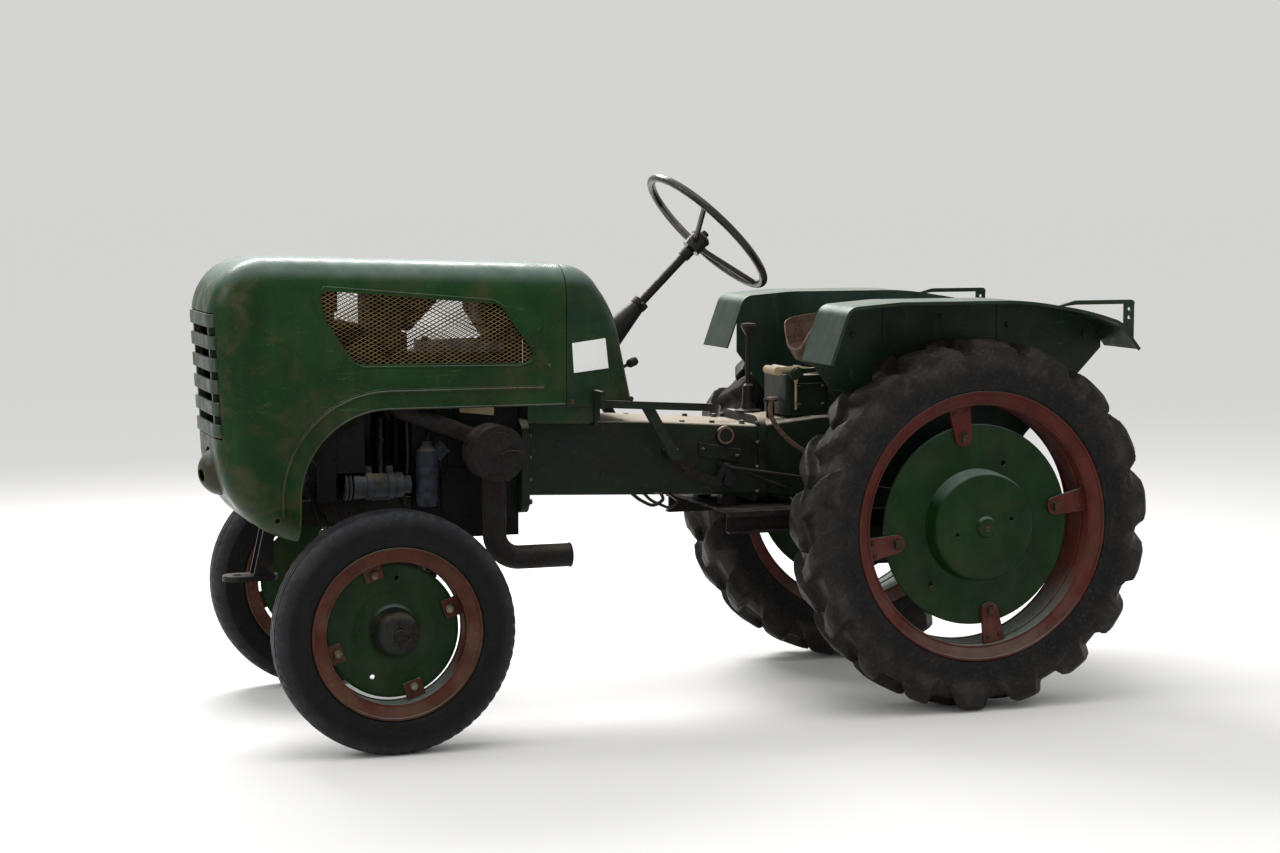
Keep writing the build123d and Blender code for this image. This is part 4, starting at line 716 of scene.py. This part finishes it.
# Worn lines along the hood's bead and its arch's rolled edge
arch_front_x, arch_top_z, arch_round, arch_foot_z = 1838.0, 860.0, 236.0, 505.0
line_sink = 0.9
worn_lines = [
    # outwards from the arch's edge, rear end ahead of the axle, height of the foot, half width
    (50.0, 1174.0, arch_foot_z + 78.0, 2.6), (3.0, 1114.0, arch_foot_z + 12.0, 2.4),
]
middle_x, middle_z = arch_front_x - arch_round, arch_top_z - arch_round
form = Form()
for offset, back_x, foot_z, radius in worn_lines:
    reach = arch_round + offset
    route = [(back_x + (middle_x - back_x) * k / 16, arch_top_z + offset) for k in range(16)]
    for turn in range(0, 91, 6):
        route.append((middle_x + reach * sin(radians(turn)), middle_z + reach * cos(radians(turn))))
    route += [(arch_front_x + offset, middle_z + (foot_z - middle_z) * k / 4) for k in range(1, 5)]
    form.pipe([over_skin(hood_skin, x, z, -line_sink) for x, z in route], radius, 2.0, 8)
form.both_sides()
form.done("arch_lines", "worn", "body_paint", "hood")

# Blank label that follows the cowl's curve
label_top = Vector((1094.0, 1028.0)), Vector((997.0, 1040.0))
label_foot = Vector((1089.0, 947.0)), Vector((989.0, 958.0))
label_steps = 12
label_out = 0.9
cowl_skin = skin("cowl")
form = Form()
grid = []
for i in range(label_steps + 1):
    t = i / label_steps
    top, foot = label_top[0].lerp(label_top[1], t), label_foot[0].lerp(label_foot[1], t)
    places = [top.lerp(foot, k / label_steps) for k in range(label_steps + 1)]
    grid.append([form.bm.verts.new(over_skin(cowl_skin, *place, label_out)) for place in places])
for first, second in zip(grid, grid[1:]):
    for k in range(label_steps):
        form.bm.faces.new((first[k], first[k + 1], second[k + 1], second[k]))
form.done("blank_label", "card", "body_paint")

# Hood catches, the cowl's foot strips and its bolts
form = Form()
form.plate([(1172, 958), (1154, 958), (1150, 962), (1150, 970), (1154, 974), (1172, 974)],
           body_side_y - 1, body_side_y + 4)
form.rod((1160, body_side_y, 966), (1160, body_side_y + 12, 966), 5.5)
form.both_sides()
form.done("hood_catches", "body", "body_paint", "hood", soft=0.8)

form = Form()
form.plate([(1010, 862), (1216, 862), (1216, 816), (1190, 811), (1040, 806), (1010, 816)], 200.0, 203.0)
form.both_sides()
form.done("cowl_foot_strips", "cowl", "body_paint", soft=0.8)

form = Form()
form.bolts(body_side_y, [(1094, 868), (925, 872), (1005, 868)], 5.5)
form.both_sides()
form.done("cowl_bolts", "rusty", "rusty_steel")

# The bay's pieces below take the near-black look: partly grime, partly painted shade of the engine bay
# Fuel tank behind the window mesh
form = Form()
form.plate([(1168, 1190), (1319, 1190), (1319, 1112), (1267, 1034), (1150, 1034)], -90.0, 90.0)
form.box((1150, -94, 1066), (1300, 94, 1070))
form.done("fuel_tank", "shaded_grime", "dark_steel", soft=8.0)

# Intake box and its neck
form = Form()
form.plate([(1621, 1196), (1433, 1190), (1433, 1140), (1508, 1062), (1621, 1062)], -70.0, 70.0)
form.rod((1560, 40, 1062), (1560, 40, 1000), 24.0, 24)
form.done("intake_box", "shaded_grime", "dark_steel", soft=8.0)

# Fan shroud between engine and radiator
form = Form()
form.turned((1640, 0, 860), forwards, [(0, 166), (0, 160), (40, 160), (40, 166)], 64, closed=True)
for low, high in (
    ((1660, 160, 640), (1738, 178, 1086)), ((1660, -178, 640), (1738, -160, 1086)),
    ((1660, -178, 1030), (1738, 178, 1086)), ((1660, -178, 640), (1738, 178, 694)),
    ((1521, -90, 990), (1640, 90, 1058)), ((1500, -166, 640), (1660, -160, 1000)),
):
    form.box(low, high)
form.done("fan_shroud", "shaded_grime", "dark_steel", soft=2.0)

# Air cleaner on the right of the bay
form = Form()
form.turned((1590, -158, 640), upwards, [
    (0, 0), (0, 48), (6, 54), (96, 54), (100, 57), (108, 57), (112, 54), (300, 54), (330, 38), (338, 24),
    (372, 24), (372, 0),
], 40)
form.box((1575, -128, 640), (1605, -98, 616))
form.done("air_cleaner", "shaded_grime", "dark_steel")

# Exhaust: pipe from the manifold, the silencer's rims, cap and wire, and the tail pipe's ring
silencer_x, silencer_z = 1325.0, 742.0
silencer_y = 304.0
form = Form()
form.pipe([(1575, 128, 866), (1560, 168, 853), (1400, 182, 796), (silencer_x, 190, 760)], 23.0, 40.0, 20)
form.torus((silencer_x, 206, silencer_z), leftwards, 73.0, 3.0, 64)
form.torus((silencer_x, 300, silencer_z), leftwards, 72.5, 3.0, 64)
form.turned((silencer_x, silencer_y - 1, silencer_z), leftwards,
            [(0, 60), (2.5, 57), (2.5, 22), (5, 18), (5, 0)], 48)
form.pipe([(1319, silencer_y + 3, 739), (1300, silencer_y + 8, 752), (1264, silencer_y + 6, 747)],
          2.6, 10.0, 8)
form.torus((1114, 252, 456), forwards, 31.5, 2.4, 40)
form.done("exhaust_fittings", "soot", "rusty_steel")

# Oil filter: ribbed can on two pipes
filter_x, filter_y = 1487.0, 160.0
rib_pitch = 34
outline = [(0, 0), (0, 26)]
for foot in range(0, 4 * rib_pitch, rib_pitch):
    outline += [(8 + foot, 28), (12 + foot, 30), (34 + foot, 30), (38 + foot, 28)]
outline += [(150, 28), (156, 20), (166, 14), (174, 14), (174, 0)]
form = Form()
form.turned((filter_x, filter_y, 594), upwards, outline, 28)
for z in (640, 722):
    form.rod((filter_x, 128, z), (filter_x, 150, z), 12)
form.done("oil_filter", "blue", "dark_steel")

# Engine block: side covers, ribs, head bolts and injector bodies
# The covers take the near-black look: partly grime, partly painted shade of the engine bay
block_y = 129.0
form = Form()
form.plate([(1440, 560), (1440, 690), (1250, 690), (1250, 560)], block_y, block_y + 8)
form.plate([(1405, 880), (1405, 820), (1240, 812), (1240, 872)], block_y, block_y + 6)
form.bolts(block_y + 8, [(x, z) for x in (1262, 1318, 1374, 1428) for z in (572, 678)], 6.0)
for x in range(1240, 1500, 58):
    form.box((x, block_y, 700), (x + 9, block_y + 10, 800))
for x in range(1250, 1510, 50):
    form.bolt((x, 112, 900), upwards)
for x in range(1270, 1500, 66):
    form.turned((x, 108, 948), leftwards, [(-4, 0), (-4, 20), (6, 20), (9, 16), (22, 12), (22, 0)], 20)
form.both_sides()
form.done("engine_covers", "shaded_grime", "casting", soft=1.2)

# Diamond boss on the block's left side
boss_x, boss_z = 1445.0, 740.0
form = Form()
form.plate([(boss_x + 28, boss_z), (boss_x, boss_z + 28), (boss_x - 28, boss_z), (boss_x, boss_z - 28)],
           block_y, block_y + 12)
form.turned((boss_x, block_y + 12, boss_z), leftwards,
            [(-2, 0), (-2, 17), (6, 16), (8, 13), (8, 9), (-1, 9), (-1, 0)], 24)
form.bolts(block_y + 12, [(1464, boss_z), (1426, boss_z)], 4.5)
form.done("diamond_boss", "grey", "casting", soft=1.5)

# Rocker cover and the blank plate under the head
form = Form()
form.box((1248, -78, 999), (1462, 78, 1030))
for x in (1290, 1450):
    form.bolt((x, 0, 1030), upwards, 9.0)
form.done("rocker_cover", "alloy", "casting", soft=6.0)

form = Form()
form.plate([(1389, 870), (1389, 842), (1293, 831), (1293, 858)], 136.0, 139.0)
form.done("blank_tan_plate", "plate", "casting")

# Dynamo: clamps, end rings, a ring of studs and the pulley
dynamo_y, dynamo_z = 160.0, 654.0
stud_x, stud_reach, stud_count = 1690.0, 25.0, 12
clamp_ring = [(0, 33.5), (0, 37), (16, 37), (16, 33.5)]
end_ring = [(0, 30), (0, 34.5), (20, 34.5), (20, 30)]
pulley = [
    (-6, 0), (-6, 12), (0, 14), (2, 36), (6, 38), (10, 30), (14, 38), (18, 36), (20, 14), (26, 10), (26, 0),
]
form = Form()
for x in (1582, 1640):
    form.turned((x, dynamo_y, dynamo_z), forwards, clamp_ring, 40, closed=True)
    form.box((x, 150, 686), (x + 16, 154, 706))
    form.box((x, 164, 686), (x + 16, 168, 706))
    form.rod((x + 8, 144, 699), (x + 8, 174, 699), 4.0)
for x in (1556, 1672):
    form.turned((x, dynamo_y, dynamo_z), forwards, end_ring, 40, closed=True)
for k in range(stud_count):
    turn = tau * k / stud_count
    y, z = dynamo_y + stud_reach * cos(turn), dynamo_z + stud_reach * sin(turn)
    form.rod((stud_x, y, z), (stud_x + 4, y, z), 3.0, 8)
form.turned((1696, dynamo_y, dynamo_z), forwards, pulley, 40)
form.done("dynamo_fittings", "grey", "rusty_steel")

# Thin pipe that runs down from the radiator along the dynamo
form = Form()
form.pipe([(1836, 150, 742), (1812, 170, 732), (1687, 170, 676), (1640, 150, 664)], 5.0, 20.0, 12)
form.done("water_pipe", "black", "dark_steel")

# Front stays with their ribs
form = Form()
form.plate([(1668, 556), (1688, 600), (1803, 676), (1812, 660), (1770, 590), (1742, 556)], 126.0, 134.0)
for k in range(4):
    x, top = 1692 + k * 28, 606 + k * 14
    form.plate([(x, 562), (x + 5, 562), (x + 30, top), (x + 25, top)], 134.0, 142.0)
form.bolts(134, [(1690, 572), (1790, 655)])
form.both_sides()
form.done("front_stays", "soot", "rusty_steel", soft=1.0)

# Fuel and oil lines along the block
fuel_routes = [
    # line's half width, points
    (4.5, [(1538, 124, 880), (1538, 140, 862), (1534, 142, 720), (1546, 142, 605), (1540, 122, 590)]),
    (4.0, [(1260, 124, 930), (1262, 150, 920), (1400, 158, 905), (1500, 150, 860), (1505, 130, 840)]),
    (4.0, [(1300, 124, 948), (1300, 148, 948), (1350, 160, 910), (1440, 156, 880), (1470, 140, 800),
           (1487, 150, 760)]),
]
form = Form()
for radius, route in fuel_routes:
    form.pipe(route, radius, 18.0, 10)
form.done("fuel_lines", "black", "dark_steel")

# Gearbox: flange bolts, side bars, cover bolts, box under the column
tunnel_y = 138.0
cover_back_x, cover_back_z, cover_slope = 515, 783, 0.035
form = Form()
for z in (592, 650, 710, 770):
    form.bolt((1200, 154, z), -forwards, 7.5)
for z in (590, 660, 730, 786):
    form.bolt((522, 142, z), forwards, 6.0)
form.plate([(700, 738), (700, 700), (574, 676), (574, 714)], tunnel_y - 1, tunnel_y + 7)
form.bolts(tunnel_y + 7, [(688, 716), (586, 694)], 5.5)
for x in range(560, 1190, 90):
    form.bolt((x, 112, cover_back_z + (x - cover_back_x) * cover_slope), upwards, 7.0)
form.both_sides()
form.box((1126, -96, 780), (1208, 96, 862))
form.done("gearbox_fittings", "casting", "casting", soft=1.0)

# Dark sockets in the gearbox's sides and the ring round the cross shaft
shaft_x, shaft_z = 622.0, 755.0
form = Form()
for x, z in ((1106, 746), (979, 659)):
    form.turned((x, tunnel_y, z), leftwards, [(-3, 0), (-3, 11), (1.5, 10), (1.5, 0)], 24)
form.turned((shaft_x, tunnel_y + 13, shaft_z), leftwards, [(-2, 0), (-2, 18), (1.2, 17), (1.2, 0)], 28)
form.both_sides()
form.done("gearbox_sockets", "grease", "casting")

form = Form()
form.torus((shaft_x, tunnel_y + 14, shaft_z), leftwards, 21.5, 3.2, 40)
form.both_sides()
form.done("cross_shaft_rings", "seat", "casting")

# Brake pull rods and their cranks
form = Form()
form.pipe([(640, 150, 676), (632, 172, 675), (449, 172, 602), (436, 160, 597)], 5.5, 14.0, 12)
form.plate([(758, 676), (750, 652), (652, 612), (641, 620), (646, 638)], 166.0, 176.0)
form.rod((748, 160, 664), (748, 182, 664), 11.0, 20)
form.plate([(664, 626), (648, 620), (626, 668), (640, 682)], 168.0, 174.0)
form.plate([(782, 712), (798, 712), (758, 664), (742, 668)], 172.0, 180.0)
form.both_sides()
form.done("brake_pull_rods", "soot", "rusty_steel")

# Steel hooks that hang below the tunnel
form = Form()
form.pipe([(893, 110, 602), (888, 176, 588), (850, 184, 568), (818, 184, 586), (826, 176, 606),
           (834, 110, 604)], 5.0, 16.0, 10)
form.pipe([(858, 110, 602), (854, 178, 584), (800, 190, 560), (774, 186, 580), (788, 110, 602)],
          4.5, 16.0, 10)
form.done("steel_hooks", "black", "dark_steel")

# Curved lever with its mushroom knob
form = Form()
form.pipe([(478, 138, 857), (490, 148, 815), (473, 155, 778), (435, 160, 735), (386, 162, 702),
           (352, 150, 690)], 7.0, 26.0, 12)
form.turned((478, 138, 853), upwards, [(-2, 0), (-2, 17), (4, 16), (7, 11), (8, 0)], 20)
form.done("curved_lever", "seat", "rusty_steel")

# Lift housing: cover bolts, filler cap and side plate
lift_top_z = 915.0
form = Form()
for x in (292, 408):
    for y in (-66, 86):
        form.bolt((x, y, lift_top_z), upwards)
form.turned((350, 10, lift_top_z), upwards,
            [(-1, 0), (-1, 34), (6, 34), (10, 28), (14, 14), (22, 12), (22, 0)], 32)
form.box((300, 98, 820), (392, 106, 892))
form.bolts(106, [(310, 830), (382, 830), (310, 882), (382, 882)], 5.0)
form.done("lift_fittings", "casting", "casting", soft=1.2)

# Linkage above the lift housing
form = Form()
form.rod((455, 40, 930), (455, 128, 930), 13.0, 20)
form.pipe([(452, 122, 934), (392, 124, 936), (330, 120, 926), (312, 120, 924)], 8.0, 20.0, 12)
form.pipe([(400, 122, 934), (400, 124, 920), (400, 126, 820)], 3.5, 8.0, 10)
form.torus((400, 124, 906), forwards, 10.0, 3.0, 24)
form.done("lift_linkage", "plate", "rusty_steel")

# Steering column's clamps, stop knob and the wheel's hub nut
column_dir = (upwards - forwards).normalized()
wheel_dish = 50.0
steering_hub = Vector((624.0, 0.0, 1324.0)) - column_dir * wheel_dish
clamp_bolt = steering_hub - column_dir * 237.0
form = Form()
form.turned(steering_hub - column_dir * 246.0, column_dir, [(0, 20.0), (0, 24.0), (18, 24.0), (18, 20.0)], 32,
            closed=True)
form.rod(clamp_bolt + leftwards * 18, clamp_bolt + leftwards * 38, 6.0)
form.turned(steering_hub - column_dir * 52.0, column_dir, [(0, 12.6), (0, 17.0), (26, 17.0), (30, 12.6)], 32,
            closed=True)
form.done("column_clamps", "black", "dark_steel")

form = Form()
form.rod((930, 48, 930), (872, 48, 957), 5.0)
form.turned((880, 48, 953), Vector((-0.9, 0, 0.42)),
            [(0, 0), (0, 7), (6, 12), (24, 13), (32, 9), (34, 0)], 24)
form.done("stop_knob", "black", "dark_steel")

form = Form()
form.turned(steering_hub, column_dir, [(20, 0), (20, 30), (27, 29), (33, 22), (35, 0)], 40)
form.turned(steering_hub, column_dir, [(33, 0), (33, 12), (44, 12), (46, 10), (46, 0)], 6)
form.done("steering_hub_nut", "black", "dark_steel", "steering_wheel")

# Fenders: bolts and seams on the inner wall
fender_wall_y = 292.0
form = Form()
form.bolts(fender_wall_y, [(30, 1088), (-425, 1027), (300, 1040), (-180, 1060)], 7.0)
for x, low, high in ((-153, 1015, 1128), (200, 1000, 1128)):
    form.box((x - 9, fender_wall_y - 1, low), (x + 9, fender_wall_y + 2.5, high))
form.both_sides()
form.done("fender_fittings", "fender", "body_paint", soft=0.8)

# Front axle: nuts and grease nipples of the kingpins and the tie rod's pins
kingpin_y = 385.0
kingpin_parts = [
    # ahead, height, direction, outline, corners
    (wheelbase, 451, upwards, [(0, 0), (0, 17), (10, 17), (13, 13), (13, 0)], 6),
    (wheelbase, 464, upwards, [(-1, 0), (-1, 5), (5, 4), (7, 5.5), (10, 4), (11, 0)], 14),
    (wheelbase - 120, 476, upwards, [(-4, 0), (-4, 11), (5, 11), (6, 9), (6, 0)], 6),
    (wheelbase, 270, -upwards, [(-2, 0), (-2, 24), (4, 22), (6, 12), (14, 10), (14, 0)], 24),
]
for side, sign in sides:
    form = Form()
    for x, z, along, outline, corners in kingpin_parts:
        form.turned((x, kingpin_y, z), along, outline, corners)
    form.done(f"kingpin_nuts_{side}", "rusty", "rusty_steel", f"knuckle_{side}", flip=sign < 0)

# Floor and a sky that pales upwards
floor_look = Graph("pale_floor", roughness=0.95, specular=0.0).done(colour(230, 230, 230))
bpy.ops.mesh.primitive_plane_add(size=400.0, location=(0, 0, 0))
floor = bpy.context.object
floor.name = "floor"
floor.data.materials.append(floor_look)

world = bpy.data.worlds.new("studio")
scene.world = world
world.use_nodes = True
world_nodes, world_links = world.node_tree.nodes, world.node_tree.links
sky_place = world_nodes.new("ShaderNodeTexCoord")
sky_height = world_nodes.new("ShaderNodeSeparateXYZ")
sky_blend = world_nodes.new("ShaderNodeMapRange")
for key, value in (("From Min", 0.05), ("From Max", 0.9), ("To Min", 0.66), ("To Max", 0.9)):
    sky_blend.inputs[key].default_value = value
world_links.new(sky_place.outputs["Generated"], sky_height.inputs[0])
world_links.new(sky_height.outputs[2], sky_blend.inputs["Value"])
world_links.new(sky_blend.outputs[0], world_nodes["Background"].inputs[1])
world_nodes["Background"].inputs[0].default_value = (1.0, 0.995, 0.98, 1.0)

# Soft lights, in metres and watts
warm_white = (1.0, 0.99, 0.97)
lamps = [
    # name, place, what it points at, size, power, tint
    ("key", (0.6, 1.6, 5.6), (0.0, 0.0, 0.7), (3.0, 3.0), 60.0, (1.0, 0.98, 0.95)),
    ("fill", (4.5, 5.0, 2.0), (0.2, 0.0, 0.7), (4.0, 3.0), 14.0, (1.0, 1.0, 1.0)),
    ("front", (5.5, 0.0, 3.6), (0.0, 0.0, 0.7), (2.5, 2.0), 80.0, warm_white),
    ("back", (0.6, -3.2, 3.9), (0.0, 0.2, 0.9), (3.5, 1.4), 260.0, warm_white),
]
for name, place, aim, size, power, tint in lamps:
    light = bpy.data.lights.new(name, "AREA")
    light.shape = "RECTANGLE"
    light.size, light.size_y = size
    light.energy = power
    light.color = tint
    lamp = bpy.data.objects.new(name, light)
    lamp.location = place
    lamp.rotation_euler = (Vector(aim) - Vector(place)).to_track_quat("-Z", "Y").to_euler()
    scene.collection.objects.link(lamp)

# Camera at the photograph's viewing angle
camera_place = (2.309, 6.588, 1.4372)
camera_yaw, camera_pitch = 0.3309, 0.095
camera = bpy.data.cameras.new("camera")
camera.sensor_width = 36.0
camera.lens = 69.39
level = cos(camera_pitch)
looking = Vector((-sin(camera_yaw) * level, -cos(camera_yaw) * level, -sin(camera_pitch)))
camera_object = bpy.data.objects.new("camera", camera)
camera_object.location = camera_place
camera_object.rotation_euler = looking.to_track_quat("-Z", "Y").to_euler()
scene.collection.objects.link(camera_object)
scene.camera = camera_object
scene.view_settings.view_transform = "Standard"
